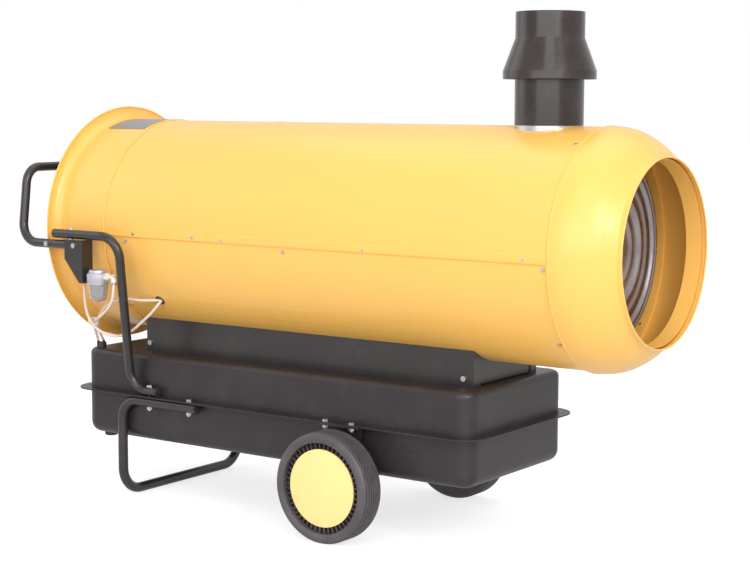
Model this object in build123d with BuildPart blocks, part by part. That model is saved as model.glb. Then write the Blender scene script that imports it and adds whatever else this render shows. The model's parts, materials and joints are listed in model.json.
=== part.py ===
from build123d import *
import math
import os

os.makedirs("parts", exist_ok=True)

# Indirect fired heater. X runs along the casing towards the warm air outlet, +Y is the left
# side and +Z is up. The origin is on the floor, under the middle of the whole length.

# Lengths along the casing, from the outlet back to the handle
nose_length = 135.0
casing_length = 1231.0
inlet_length = 162.0
handle_reach = 85.0
overall_length = nose_length + casing_length + inlet_length + handle_reach
rim_x = overall_length / 2
nose_seam_x = rim_x - nose_length
inlet_seam_x = nose_seam_x - casing_length
inlet_rim_x = inlet_seam_x - inlet_length
inlet_seam_setback = nose_length + casing_length
inlet_rim_setback = inlet_seam_setback + inlet_length
handle_x = -overall_length / 2

# Clearances and overruns that every piece shares
fit_gap = 0.3
running_gap = 0.3
overrun = 5.0

# Tank heights, which carry the casing
tank_bottom_z = 145.0
tank_flange_z = 259.0
tank_top_z = 359.0
cradle_gap = 41.0

# Casing sheets
sheet = 1.5
casing_radius = 263.0
axis_height = tank_top_z + cradle_gap + casing_radius
lower_radius = casing_radius - sheet - fit_gap
spigot_radius = lower_radius - sheet - fit_gap
seam_drop = 12.0
seam_lap = 22.0
cover_split = 333.0
cover_split_x = inlet_seam_x + cover_split
split_gap = 0.5
spigot_length = 26.0
bead_radius = 2.0
casing_axis = Axis((0, 0, axis_height), (1, 0, 0))

# Nose and outlet
nose_radius = casing_radius + sheet
outlet_step = 59.0
outlet_radius = casing_radius - outlet_step
collar_length = 8.0
shoulder_shares = ((0.24, 0.965), (0.46, 0.82), (0.63, 0.62), (0.765, 0.41), (0.865, 0.2), (0.93, 0.075))
shoulder_steps = 8
ring_gap = 5.5
ring_radius = outlet_radius - ring_gap
ring_setback = 12.0
ring_depth = 36.0
fin_along_share = 0.66
fin_count = 4
fin_arc = 5.0

# Inlet ring: a drum that ends in a rounded flare
inlet_wall_radius = casing_radius + sheet
inlet_lip = 33.0
inlet_radius = inlet_wall_radius + inlet_lip
flare_round = 24.0
seam_land = 6.0

# Flue
flue_setback = 286.0
flue_x = rim_x - flue_setback
flue_radius = 75.0
flue_wall = 1.5
flue_foot = 1.0
flue_length = 188.0
flue_z = axis_height + casing_radius + flue_foot
collar_radius = flue_radius - flue_wall - fit_gap
collar_overlap = 60.0
cap_neck = 54.0
cap_cone = 71.0
cap_band = 16.0
cap_radius = 101.3
seam_strip_width = 6.0
seam_strip_height = 0.8
seam_strip_angle = -55.0
cap_neck_z = flue_z + flue_length
pipe_length = flue_length - flue_wall * cap_cone / (cap_radius - flue_radius)

# Tank
tank_rear_gap = 35.0
tank_rear_x = inlet_rim_x + tank_rear_gap
tank_length = 1141.0
tank_half_width = 207.0
tank_wall = 1.5
tank_corner = 37.0
tank_bottom_fillet = 28.0
tank_top_fillet = 14.0
flange_width = 28.0
tank_mid_x = tank_rear_x + tank_length / 2
flange_half_width = tank_half_width + flange_width

# Fasteners
bolt_radius = 4.0
bolt_head_radius = 6.8
bolt_head = 5.0
nut_height = 6.0
bolt_tail = 3.0
spacer_radius = 7.5
hole_gap = 0.15
screw_radius = 2.1
screw_head_radius = 4.6
screw_head = 2.4
screw_length = 8.0

# Wheels and axle
wheel_setback = 681.0
wheel_x = rim_x - wheel_setback
wheel_radius = 125.0
wheel_outer_y = 304.0
tyre_width = 66.0
tyre_seat_radius = 97.0
tyre_shoulder = 11.0
groove_count = 5
groove_width = 2.6
groove_depth = 3.0
groove_pitch = 7.5
rib_count = 50
rib_width = 3.0
rib_depth = 7.0
rim_wall = 5.0
disc_radius = 87.5
disc_edge = 3.0
disc_dome = 5.0
dimple_radius = 3.5
dimple_depth = 1.2
hub_radius = 22.0
hub_length = 46.0
hub_inset = 4.0
axle_radius = 10.0
washer_radius = 17.0
washer_thickness = 2.5
cap_recess = 8.0
axle_z = wheel_radius
wheel_axis = Axis((wheel_x, 0, axle_z), (0, 1, 0))

# Axle brackets
bracket_plate = 4.0
bracket_web_y = 212.0
bracket_bolt_spread = 73.0
bracket_bolt_shift = -5.5
bracket_bolt_y = 226.0
bracket_top_width = 112.0
bracket_boss_radius = 22.0

# Rear leg, uprights and handle
leg_radius = 12.0
tube_radius = 11.0
tube_wall = 1.6
leg_inset = 176.0
leg_setback = inlet_rim_setback - leg_inset
leg_x = rim_x - leg_setback
leg_front_inset = 415.0
leg_front_setback = inlet_rim_setback - leg_front_inset
leg_y = 221.0
leg_top_bend = 48.0
leg_foot_bend = 60.0
rear_bolt_inset = 266.0
rear_bolt_setback = inlet_rim_setback - rear_bolt_inset
front_bolt_inset = 393.0
front_bolt_setback = inlet_rim_setback - front_bolt_inset
upright_end_inset = 290.0
upright_end_setback = inlet_rim_setback - upright_end_inset
upright_low_inset = 206.0
upright_low_setback = inlet_rim_setback - upright_low_inset
upright_high_inset = 251.0
upright_high_setback = inlet_rim_setback - upright_high_inset
upright_rear_inset = 42.0
upright_rear_setback = inlet_rim_setback - upright_rear_inset
upright_drop = 10.0
upright_bend = 48.0
handle_y = inlet_radius + tube_radius
handle_drop = 36.0
handle_front_inset = 138.5
handle_front_setback = inlet_rim_setback - handle_front_inset
handle_rise = 183.0
handle_lean = 21.5
handle_low_bend = 50.0
handle_high_bend = 42.0
rim_bolt_inset = 23.0
rim_bolt_setback = inlet_rim_setback - rim_bolt_inset
plate_bolt_inset = 118.0
plate_bolt_setback = inlet_rim_setback - plate_bolt_inset
tie_bolt_inset = 94.0
tie_bolt_setback = inlet_rim_setback - tie_bolt_inset
plug_thickness = 3.0

# Cradle
cradle_rear_setback = 1348.0
cradle_front_setback = 387.0
cradle_half_width = 135.0
cradle_plate = 2.5
cradle_foot = 30.0
cradle_return = 25.0
brace_tab = 32.0
cradle_bolt_rise = 17.0
rear_cradle_bolt_setback = 1335.0
front_cradle_bolt_setback = 412.0

# Fuel filter
filter_rim_inset = 174.0
filter_setback = inlet_rim_setback - filter_rim_inset
filter_inset = 10.5
filter_y = handle_y - filter_inset
filter_drop = 92.0
filter_head_radius = 27.0
filter_head_height = 35.0
filter_bowl_radius = 23.0
filter_bowl_height = 42.0
filter_bowl_wall = 2.0
filter_port_drop = 16.0
port_radius = 4.5
port_end_drop = 14.0
left_port_reach = 47.0
right_port_reach = 51.0
filter_plate = 2.0
filter_plate_rear_inset = 85.0
filter_plate_rear_setback = inlet_rim_setback - filter_plate_rear_inset
filter_plate_fold_inset = 142.0
filter_plate_fold_setback = inlet_rim_setback - filter_plate_fold_inset
filter_plate_top = 14.0
filter_plate_shoulder = 33.0
filter_plate_tip = 90.0
filter_side_depth = 34.0
filter_tip_width = 9.0
filter_boss_radius = 8.5
filter_wall_chamfer = 2.0
filter_bowl_round = 7.0
elbow_bend = 6.0

# Hoses
hose_radius = 3.5
grommet_radius = 12.0
grommet_flange = 2.5
grommet_setback = 1243.0
grommet_angle = 220.0
sleeve_radius = 4.6
tie_radius = 12.0
tie_wall = 1.5
tie_width = 6.0
fitting_radius = 12.0
fitting_height = 13.0
nipple_radius = 3.0

# Air side inside the casing
guard_inset = 12.0
guard_setback = inlet_rim_setback - guard_inset
guard_wire = 2.0
guard_bar = 1.5
guard_rings = 9
guard_bars = 8
guard_hub_radius = 45.0
motor_radius = 62.0
motor_rear_inset = 28.0
motor_rear_setback = inlet_rim_setback - motor_rear_inset
motor_length = 125.0
motor_plate_inset = 87.0
motor_plate_setback = inlet_rim_setback - motor_plate_inset
motor_plate = 3.0
motor_arm_width = 36.0
motor_arm_count = 3
motor_fin_count = 24
motor_fin_depth = 5.0
motor_fin_width = 5.0
motor_end_length = 18.0
motor_end_round = 8.0
shaft_radius = 8.0
fan_inset = 183.0
fan_setback = inlet_rim_setback - fan_inset
fan_tip_gap = 35.0
fan_radius = casing_radius - fan_tip_gap
fan_hub_radius = 48.0
fan_hub_length = 44.0
blade_count = 6
blade_thickness = 2.5
blade_root_chord = 78.0
blade_tip_chord = 96.0
blade_root_pitch = 42.0
blade_tip_pitch = 24.0

# Burner
burner_rear_setback = 1255.0
burner_length = 145.0
burner_half_width = 52.0
burner_top = 75.0
burner_bottom = 100.0
burner_wall = 3.0
burner_round = 6.0
impeller_drop = 20.0
impeller_radius = 62.0
impeller_half_width = 30.0
impeller_blade_count = 24
impeller_blade = 14.0
burner_shaft_radius = 6.0
shaft_engagement = 20.0
burner_motor_radius = 42.0
burner_motor_length = 88.0
pump_radius = 30.0
pump_length = 56.0
drive_round = 4.0
blast_radius = 50.0
blast_overlap = 45.0
damper_radius = 34.0
damper_thickness = 2.0
damper_pin_radius = 4.0
damper_port_radius = 9.0
damper_port_offset = 20.0
damper_port_count = 4
damper_knob_radius = 7.0
damper_knob_height = 12.0

# Heat exchanger
air_gap = 49.0
drum_radius = casing_radius - air_gap
drum_wall = 2.0
drum_rear_setback = 1005.0
drum_front_setback = 135.0
chamber_gap = 74.0
chamber_radius = drum_radius - chamber_gap
chamber_front_setback = 340.0
rib_radii_shares = (0.955, 0.895, 0.835, 0.62, 0.56)
rib_section = 4.5
strap_inset = 140.0
strap_width = 30.0
strap_arc = 24.0
strap_spread = 33.0

# Controls on the left side
box_rear_setback = 1180.0
box_length = 200.0
box_top_drop = 22.0
box_height = 108.0
box_stand_out = 37.0
box_face_y = casing_radius + box_stand_out
box_depth = 100.0
box_inner_y = box_face_y - box_depth
box_wall = 2.5
box_fillet = 6.0
knob_radius = 17.0
knob_height = 14.0
knob_bar = 8.0
button_radius = 8.0
button_height = 7.0
button_travel = 3.0
lamp_radius = 6.0
lamp_lip = 1.5
lid_width = 34.0
lid_height = 38.0
lid_thickness = 3.0
socket_radius = 12.0
hinge_radius = 2.5
gland_radius = 11.0
gland_length = 22.0

# Filler
filler_inset = 118.0
filler_setback = inlet_rim_setback - filler_inset
filler_y = 130.0
filler_radius = 24.0
filler_wall = 2.0
filler_height = 20.0
filler_cap_radius = 32.0
filler_cap_height = 18.0
filler_grip_count = 12

# Drain and plate
drain_inset = 68.0
drain_setback = inlet_rim_setback - drain_inset
drain_y = 150.0
drain_radius = 16.5
drain_height = 14.0
fitting_inset = 67.0
fitting_setback = inlet_rim_setback - fitting_inset
fitting_y = -180.0
plate_rear_rim_inset = 31.0
plate_rear_setback = inlet_rim_setback - plate_rear_rim_inset
plate_front_inset = 152.0
plate_front_setback = inlet_rim_setback - plate_front_inset
plate_angle = 90.0
plate_arc = 48.0
plate_thickness = 0.8


def export_node(builder, node):
    builder.part.label = node
    export_step(builder.part, f"parts/{node}.step")


def radial_plane(angle):
    # local x along the casing, local y outwards from its axis; 0 is +Y, 180 is -Y
    turn = math.radians(angle)
    return Plane(origin=(0, 0, axis_height), x_dir=(1, 0, 0), z_dir=(0, -math.sin(turn), math.cos(turn)))


def on_casing(setback, angle, radius):
    # a place on the casing whose local z points away from the casing's axis
    turn = math.radians(angle)
    point = (rim_x - setback, radius * math.cos(turn), axis_height + radius * math.sin(turn))
    return Plane(origin=point, x_dir=(1, 0, 0), z_dir=(0, math.cos(turn), math.sin(turn))).location


def side_place(x, y, z, side):
    # a place whose local z points out of the side: -1 is the right side, 1 the left
    return Plane(origin=(x, y, z), x_dir=(1, 0, 0), z_dir=(0, side, 0)).location


def corner_radii(points, share):
    # the largest tangent arcs that the runs beside each corner leave room for
    radii = []
    for before, corner, after in zip(points, points[1:], points[2:]):
        run_in = Vector(corner) - Vector(before)
        run_out = Vector(after) - Vector(corner)
        turn = math.radians(run_in.get_angle(run_out))
        radii.append(share * min(run_in.length, run_out.length) / math.tan(turn / 2))
    return radii


sides = {"right": -1, "left": 1}
right_side_angle = 180.0

# Screws that hold the casing: (setback from the outlet rim, degrees below the horizontal)
seam_screw_gap = 12.0
nose_screw_setback = nose_length + seam_screw_gap
inlet_screw_setback = inlet_seam_setback - seam_screw_gap
edge_screws_cover = ((1270.0, 1.0), (1083.0, 1.0))
edge_screws_front = ((995.0, 1.4), (593.0, 1.4), (193.0, 1.0))
nose_screws = ((nose_screw_setback, 4.9), (nose_screw_setback, 44.5))
shell_screws = ((816.0, 5.1), (1298.0, 4.9))
inlet_screws = ((inlet_screw_setback, 4.9), (inlet_screw_setback, 46.0))
shoulder_screws = ((nose_screw_setback, -60.0),)
top_screw = (inlet_screw_setback, 91.0)


def both_sides(screws):
    # the same screws on the right and on the left of the casing
    places = []
    for setback, drop in screws:
        places.append((setback, right_side_angle + drop))
        places.append((setback, -drop))
    return places


upper_screw_places = both_sides(edge_screws_cover + edge_screws_front + shoulder_screws) + [top_screw]
lower_screw_places = both_sides(nose_screws + shell_screws + inlet_screws)

seam_angle = math.degrees(math.asin(seam_drop / casing_radius))
lap_angle = math.degrees(math.asin((seam_lap - seam_drop) / casing_radius))
upper_arc = right_side_angle + 2 * seam_angle
lower_arc = right_side_angle + 2 * lap_angle


def cut_screw_holes(places, radius):
    with Locations(*[on_casing(setback, angle, radius) for setback, angle in places]):
        Cylinder(screw_radius + hole_gap, 2 * screw_length, mode=Mode.SUBTRACT)


# Casing shells
upper_spans = {
    "upper_rear_cover": (inlet_seam_x, cover_split_x - split_gap),
    "upper_front_shell": (cover_split_x, nose_seam_x - split_gap),
}
for node, (x_start, x_end) in upper_spans.items():
    with BuildPart() as shell:
        with BuildSketch(radial_plane(-seam_angle)):
            with Locations(((x_start + x_end) / 2, casing_radius - sheet / 2)):
                Rectangle(x_end - x_start, sheet)
        revolve(axis=casing_axis, revolution_arc=upper_arc)
        if x_end > flue_x:
            with Locations((flue_x, 0, axis_height + casing_radius)):
                Cylinder(collar_radius + hole_gap, casing_radius / 2, mode=Mode.SUBTRACT)
        cut_screw_holes(upper_screw_places, casing_radius)
    export_node(shell, node)

with BuildPart() as lower_shell:
    with BuildSketch(radial_plane(right_side_angle - lap_angle)):
        with Locations(((inlet_seam_x + nose_seam_x) / 2, lower_radius - sheet / 2)):
            Rectangle(casing_length - 2 * split_gap, sheet)
    revolve(axis=casing_axis, revolution_arc=lower_arc)
    cut_screw_holes(upper_screw_places + lower_screw_places, lower_radius)
    with Locations(on_casing(grommet_setback, grommet_angle, lower_radius)):
        Cylinder(grommet_radius - grommet_flange, 2 * screw_length, mode=Mode.SUBTRACT)
export_node(lower_shell, "lower_shell")

# Nose: a shoulder that rolls in to the outlet collar, and a spigot inside the shells
shoulder_length = nose_length - collar_length
shoulder_drop = nose_radius - outlet_radius
shoulder_points = [(nose_seam_x, nose_radius)]
for along_share, radius_share in shoulder_shares:
    shoulder_points.append((nose_seam_x + along_share * shoulder_length, outlet_radius + radius_share * shoulder_drop))
shoulder_points.append((rim_x - collar_length, outlet_radius))
with BuildPart() as nose_cone:
    with BuildSketch(radial_plane(0)):
        with BuildLine():
            shoulder = Spline(*shoulder_points, tangents=((1, 0), (1, 0)))
            inner_points = [(nose_seam_x + sheet, nose_radius - sheet)]
            for index in range(1, shoulder_steps):
                tangent = shoulder % (index / shoulder_steps)
                inner_points.append(shoulder @ (index / shoulder_steps) + Vector(tangent.Y, -tangent.X) * sheet)
            inner_points.append((rim_x - collar_length, outlet_radius - sheet))
            Spline(*inner_points, tangents=((1, 0), (1, 0)))
            Polyline(
                (rim_x - collar_length, outlet_radius),
                (rim_x - bead_radius, outlet_radius),
                (rim_x - bead_radius, outlet_radius - sheet),
                (rim_x - collar_length, outlet_radius - sheet),
            )
            Polyline(
                (nose_seam_x, nose_radius),
                (nose_seam_x, spigot_radius),
                (nose_seam_x - spigot_length, spigot_radius),
                (nose_seam_x - spigot_length, spigot_radius - sheet),
                (nose_seam_x + sheet, spigot_radius - sheet),
                (nose_seam_x + sheet, nose_radius - sheet),
            )
        make_face()
        with Locations((rim_x - bead_radius, outlet_radius - bead_radius)):
            Circle(bead_radius)
    revolve(axis=casing_axis, revolution_arc=360)
    cut_screw_holes(lower_screw_places + upper_screw_places, spigot_radius)
export_node(nose_cone, "nose_cone")

# Inner ring of the outlet, held by four fins inside the shoulder
ring_front_x = rim_x - ring_setback
fin_seat = shoulder @ fin_along_share
fin_slope = -(shoulder % fin_along_share).Y / (shoulder % fin_along_share).X
fin_radius = fin_seat.Y - sheet * math.hypot(1, fin_slope) - fin_slope * sheet / 2
with BuildPart() as outlet_ring:
    with BuildSketch(radial_plane(0)):
        with Locations((ring_front_x - ring_depth / 2, ring_radius - sheet / 2)):
            Rectangle(ring_depth, sheet)
    revolve(axis=casing_axis, revolution_arc=360)
    for index in range(fin_count):
        with BuildSketch(radial_plane(360 / fin_count * (index + 0.5) - fin_arc / 2)):
            with Locations((fin_seat.X, (ring_radius - sheet / 2 + fin_radius) / 2)):
                Rectangle(sheet, fin_radius - ring_radius + sheet / 2)
        revolve(axis=casing_axis, revolution_arc=fin_arc)
export_node(outlet_ring, "outlet_ring")

# Inlet ring: spigot, drum, and a quarter-round flare with a rolled rim
flare_x = inlet_rim_x + sheet + flare_round
flare_face_x = inlet_rim_x + sheet
flare_top_radius = inlet_radius - bead_radius
wall_step_x = inlet_seam_x - seam_land - sheet


def flare_radius(x):
    # outer radius of the inlet ring's wall
    if x >= flare_x:
        return inlet_wall_radius
    return inlet_wall_radius + flare_round - math.sqrt(flare_round ** 2 - (flare_x - x) ** 2)


def flare_bore(x):
    # inner radius of the inlet ring's wall
    if x >= flare_x:
        return inlet_wall_radius - sheet
    return inlet_wall_radius + flare_round - math.sqrt((flare_round + sheet) ** 2 - (flare_x - x) ** 2)


rim_bolt_x = rim_x - rim_bolt_setback
rim_bolt_wall_y = math.sqrt(flare_bore(rim_bolt_x) ** 2 - handle_drop ** 2)
with BuildPart() as inlet_ring:
    with BuildSketch(radial_plane(0)):
        with BuildLine():
            Polyline((inlet_seam_x - split_gap, inlet_wall_radius), (flare_x, inlet_wall_radius))
            TangentArc(
                (flare_x, inlet_wall_radius), (flare_face_x, inlet_wall_radius + flare_round), tangent=(-1, 0)
            )
            Polyline(
                (flare_face_x, inlet_wall_radius + flare_round),
                (flare_face_x, flare_top_radius),
                (inlet_rim_x, flare_top_radius),
                (inlet_rim_x, inlet_wall_radius + flare_round),
            )
            TangentArc(
                (inlet_rim_x, inlet_wall_radius + flare_round), (flare_x, inlet_wall_radius - sheet), tangent=(0, -1)
            )
            Polyline(
                (flare_x, inlet_wall_radius - sheet),
                (wall_step_x, inlet_wall_radius - sheet),
                (wall_step_x, spigot_radius - sheet),
                (inlet_seam_x + spigot_length, spigot_radius - sheet),
                (inlet_seam_x + spigot_length, spigot_radius),
                (inlet_seam_x - split_gap, spigot_radius),
                (inlet_seam_x - split_gap, inlet_wall_radius),
            )
        make_face()
        with Locations((inlet_rim_x + bead_radius, flare_top_radius)):
            Circle(bead_radius)
    revolve(axis=casing_axis, revolution_arc=360)
    cut_screw_holes(lower_screw_places + upper_screw_places, spigot_radius)
    with Locations(
        *[
            side_place(rim_bolt_x, side * rim_bolt_wall_y, axis_height - handle_drop, side)
            for side in sides.values()
        ]
    ):
        Cylinder(bolt_radius + hole_gap, inlet_lip, mode=Mode.SUBTRACT)
export_node(inlet_ring, "inlet_ring")

# Bare plate bent over the top of the inlet ring
plate_rear_x = rim_x - plate_rear_setback
plate_length = plate_rear_setback - plate_front_setback
plate_radius = inlet_wall_radius + fit_gap + plate_thickness / 2
with BuildPart() as data_plate:
    with BuildSketch(radial_plane(plate_angle - plate_arc / 2)):
        with Locations((plate_rear_x + plate_length / 2, plate_radius)):
            Rectangle(plate_length, plate_thickness)
    revolve(axis=casing_axis, revolution_arc=plate_arc)
export_node(data_plate, "data_plate")

# Sheet-metal screws of the casing, one domed head and shank each
with BuildPart() as casing_screws:
    screw_rows = (
        (upper_screw_places, casing_radius),
        (lower_screw_places, lower_radius),
    )
    for places, radius in screw_rows:
        for setback, angle in places:
            with Locations(on_casing(setback, angle, radius)):
                Cylinder(
                    screw_head_radius, screw_head, align=(Align.CENTER, Align.CENTER, Align.MIN)
                )
                Cylinder(
                    screw_radius, screw_length, align=(Align.CENTER, Align.CENTER, Align.MAX)
                )
    fillet(casing_screws.edges().filter_by(GeomType.CIRCLE).filter_by(
        lambda edge: abs(edge.radius - screw_head_radius) < hole_gap
        and math.hypot(edge.center().Y, edge.center().Z - axis_height) > casing_radius + screw_head / 2
    ), screw_head / 2)
export_node(casing_screws, "casing_screws")

# Flue: bright stub out of the casing, black pipe over it and the cap on its top edge
collar_bottom_z = axis_height + math.sqrt(drum_radius ** 2 - collar_radius ** 2)
with BuildPart() as flue_collar:
    with Locations((flue_x, 0, collar_bottom_z)):
        Cylinder(
            collar_radius, flue_z + collar_overlap - collar_bottom_z, align=(Align.CENTER, Align.CENTER, Align.MIN)
        )
        Cylinder(
            collar_radius - flue_wall, 2 * casing_radius, mode=Mode.SUBTRACT
        )
    with BuildSketch(Plane((rim_x - drum_front_setback, 0, axis_height), x_dir=(0, 1, 0), z_dir=(-1, 0, 0))):
        Circle(drum_radius + fit_gap)
    extrude(amount=drum_rear_setback, mode=Mode.SUBTRACT)
export_node(flue_collar, "flue_collar")

with BuildPart() as flue_pipe:
    with Locations((flue_x, 0, flue_z)):
        Cylinder(flue_radius, pipe_length, align=(Align.CENTER, Align.CENTER, Align.MIN))
        with PolarLocations(flue_radius, 1, start_angle=seam_strip_angle):
            Box(
                2 * seam_strip_height, seam_strip_width, pipe_length - 2 * seam_strip_width,
                align=(Align.CENTER, Align.CENTER, Align.MIN),
            )
        Cylinder(flue_radius - flue_wall, 2 * flue_length, mode=Mode.SUBTRACT)
export_node(flue_pipe, "flue_pipe")

cap_axis = Axis((flue_x, 0, 0), (0, 0, 1))
with BuildPart() as flue_cap:
    with BuildSketch(Plane((flue_x, 0, cap_neck_z), x_dir=(1, 0, 0), z_dir=(0, -1, 0))):
        with BuildLine():
            Polyline(
                (flue_radius, cap_neck),
                (flue_radius, 0),
                (cap_radius, -cap_cone),
                (cap_radius, -cap_cone - cap_band),
                (cap_radius - flue_wall, -cap_cone - cap_band),
                (cap_radius - flue_wall, -cap_cone),
                (flue_radius - flue_wall, 0),
                (flue_radius - flue_wall, cap_neck),
                close=True,
            )
        make_face()
        with Locations(
            (cap_radius - bead_radius, -cap_cone - cap_band),
            (flue_radius - bead_radius, cap_neck),
        ):
            Circle(bead_radius)
    revolve(axis=cap_axis, revolution_arc=360)
export_node(flue_cap, "flue_cap")

# Fuel tank: two pressed pans that meet at their flanges
pan_shapes = {
    "fuel_tank_lower": (tank_bottom_z, tank_flange_z, tank_bottom_fillet, -1),
    "fuel_tank_upper": (tank_flange_z, tank_top_z, tank_top_fillet, 1),
}
filler_place = Location((rim_x - filler_setback, filler_y, tank_top_z))
fitting_place = Location((rim_x - fitting_setback, fitting_y, tank_top_z))
drain_place = Location((rim_x - drain_setback, -drain_y, tank_bottom_z))
flange_bolt_places = []
for side in sides.values():
    for setback in (rear_bolt_setback, front_bolt_setback):
        flange_bolt_places.append((rim_x - setback, side * leg_y))
    for shift in (-bracket_bolt_spread / 2, bracket_bolt_spread / 2):
        flange_bolt_places.append((wheel_x + bracket_bolt_shift + shift, side * bracket_bolt_y))
for node, (bottom_z, top_z, edge_fillet, way) in pan_shapes.items():
    with BuildPart() as pan:
        with BuildSketch(Plane.XY.offset(bottom_z)):
            with Locations((tank_mid_x, 0)):
                RectangleRounded(tank_length, 2 * tank_half_width, tank_corner)
        extrude(amount=top_z - bottom_z)
        far_face = pan.faces().sort_by(Axis.Z)[0 if way < 0 else -1]
        fillet(far_face.edges(), edge_fillet)
        open_face = pan.faces().sort_by(Axis.Z)[-1 if way < 0 else 0]
        offset(amount=-tank_wall, openings=open_face)
        with BuildSketch(Plane.XY.offset(tank_flange_z)):
            with Locations((tank_mid_x, 0)):
                RectangleRounded(tank_length + 2 * flange_width, 2 * flange_half_width, tank_corner + flange_width)
                RectangleRounded(
                    tank_length - 2 * tank_wall, 2 * (tank_half_width - tank_wall), tank_corner - tank_wall,
                    mode=Mode.SUBTRACT,
                )
            with Locations(*flange_bolt_places):
                Circle(bolt_radius + hole_gap, mode=Mode.SUBTRACT)
        extrude(amount=way * tank_wall)
        if way > 0:
            with Locations(filler_place):
                Cylinder(filler_radius - filler_wall, 2 * tank_top_fillet, mode=Mode.SUBTRACT)
            with Locations(fitting_place):
                Cylinder(fitting_radius / 2, 2 * tank_top_fillet, mode=Mode.SUBTRACT)
        if way < 0:
            with Locations(drain_place):
                Cylinder(drain_radius / 2, 2 * tank_bottom_fillet, mode=Mode.SUBTRACT)
    export_node(pan, node)

with BuildPart() as drain_plug:
    with Locations(drain_place):
        Cylinder(drain_radius, drain_height, align=(Align.CENTER, Align.CENTER, Align.MAX))
        Cylinder(drain_radius / 2 - hole_gap, 2 * drain_height)
    fillet(drain_plug.faces().sort_by(Axis.Z)[0].edges(), drain_height / 4)
export_node(drain_plug, "drain_plug")

with BuildPart() as filler_neck:
    with Locations(filler_place):
        Cylinder(filler_radius, filler_height, align=(Align.CENTER, Align.CENTER, Align.MIN))
        Cylinder(filler_radius - filler_wall, 2 * filler_height + overrun, mode=Mode.SUBTRACT)
export_node(filler_neck, "filler_neck")

with BuildPart() as filler_cap:
    with Locations(filler_place * Location((0, 0, filler_height + running_gap))):
        Cylinder(
            filler_cap_radius, filler_cap_height / 2, align=(Align.CENTER, Align.CENTER, Align.MIN)
        )
        with PolarLocations(filler_cap_radius, filler_grip_count):
            Cylinder(
                bead_radius, filler_cap_height / 2, align=(Align.CENTER, Align.CENTER, Align.MIN), mode=Mode.SUBTRACT
            )
        with Locations((0, 0, -filler_height / 2)):
            Cylinder(
                filler_cap_radius - bead_radius, filler_height / 2,
                align=(Align.CENTER, Align.CENTER, Align.MIN),
            )
            Cylinder(
                filler_radius + running_gap, filler_height / 2,
                align=(Align.CENTER, Align.CENTER, Align.MIN), mode=Mode.SUBTRACT,
            )
export_node(filler_cap, "filler_cap")

# Hoses: hand-picked points from the outlet rim back, out to the side and down from the casing's axis
hose_routes = {
    "hose_filter_burner": (
        (1401, -298, 122), (1401, -298, 158), (1404, -290, 199), (1397, -276, 234), (1376, -256, 256),
        (1345, -240, 262), (1313, -227, 248), (1287, -217, 222), (1261, -215, 202), (1249, -209, 185.5),
    ),
    "hose_filter_tank": (
        (1303, -298, 122), (1303, -298, 150), (1320, -294, 180), (1350, -290, 202), (1382, -278, 218),
        (1412, -257, 228), (1436, -232, 240), (1456, -206, 258), (1463.8, -189.7, 284.4),
    ),
    "hose_burner_tank": (
        (1258.2, -209.2, 168.5), (1282, -223, 170), (1315, -238, 166), (1350, -247, 172), (1383, -248, 190),
        (1412, -238, 215), (1438, -218, 242), (1453, -194, 266), (1456, -179.5, 284.1),
    ),
}


def tube_along(path, radius, wall=0.0):
    # a round rod or tube swept along a line that starts at the path's first point
    with BuildSketch(Plane(origin=path @ 0, z_dir=path % 0)) as section:
        Circle(radius)
        if wall:
            Circle(radius - wall, mode=Mode.SUBTRACT)
    sweep(section.sketch, path=path)


def stub(root, end, radius):
    # a short rod from its root in a fitting out to a hose's end
    run = Vector(end) - root.position
    with Locations(Plane(origin=root.position, z_dir=run.normalized()).location):
        Cylinder(radius, run.length, align=(Align.CENTER, Align.CENTER, Align.MIN))


bend_run_share = 0.45
hose_lines = {}
for node, route in hose_routes.items():
    points = [(rim_x - setback, y, axis_height - drop) for setback, y, drop in route]
    hose_lines[node] = points
    radii = corner_radii(points, bend_run_share)
    print(node, "radii", [round(radius) for radius in radii])
    with BuildPart() as hose:
        with BuildLine():
            hose_line = FilletPolyline(*points, radius=radii)
        tube_along(hose_line, hose_radius)
    tube_volume = math.pi * hose_radius ** 2 * hose_line.length
    print(node, "length", round(hose_line.length), "volume share", round(hose.part.volume / tube_volume, 4))
    export_node(hose, node)
to_burner = hose_lines["hose_filter_burner"]
to_tank = hose_lines["hose_filter_tank"]
back_to_tank = hose_lines["hose_burner_tank"]

tie_setback = 1395.7
tie_y = -273.9
tie_drop = 224.7
tie_point = (rim_x - tie_setback, tie_y, axis_height - tie_drop)
tie_direction_shares = (-0.307, 0.625, -0.718)
with BuildPart() as hose_tie:
    with Locations(Plane(origin=tie_point, z_dir=tie_direction_shares).location):
        Cylinder(tie_radius, tie_width)
        Cylinder(tie_radius - tie_wall, 2 * tie_width, mode=Mode.SUBTRACT)
export_node(hose_tie, "hose_tie")

# Tank fitting: black base with a nipple for each of the two hoses, rooted at shares of its radius
nipple_root_shares = ((-0.46, -0.34), (0.3, 0.61))
with BuildPart() as tank_fitting:
    with Locations(fitting_place):
        Cylinder(fitting_radius, fitting_height, align=(Align.CENTER, Align.CENTER, Align.MIN))
        Cylinder(fitting_radius / 2 - hole_gap, 2 * fitting_height)
    for (across_share, out_share), end in zip(nipple_root_shares, (to_tank[-1], back_to_tank[-1])):
        root = fitting_place * Location(
            (across_share * fitting_radius, out_share * fitting_radius, fitting_height - nipple_radius)
        )
        stub(root, end, nipple_radius)
export_node(tank_fitting, "tank_fitting")

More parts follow.
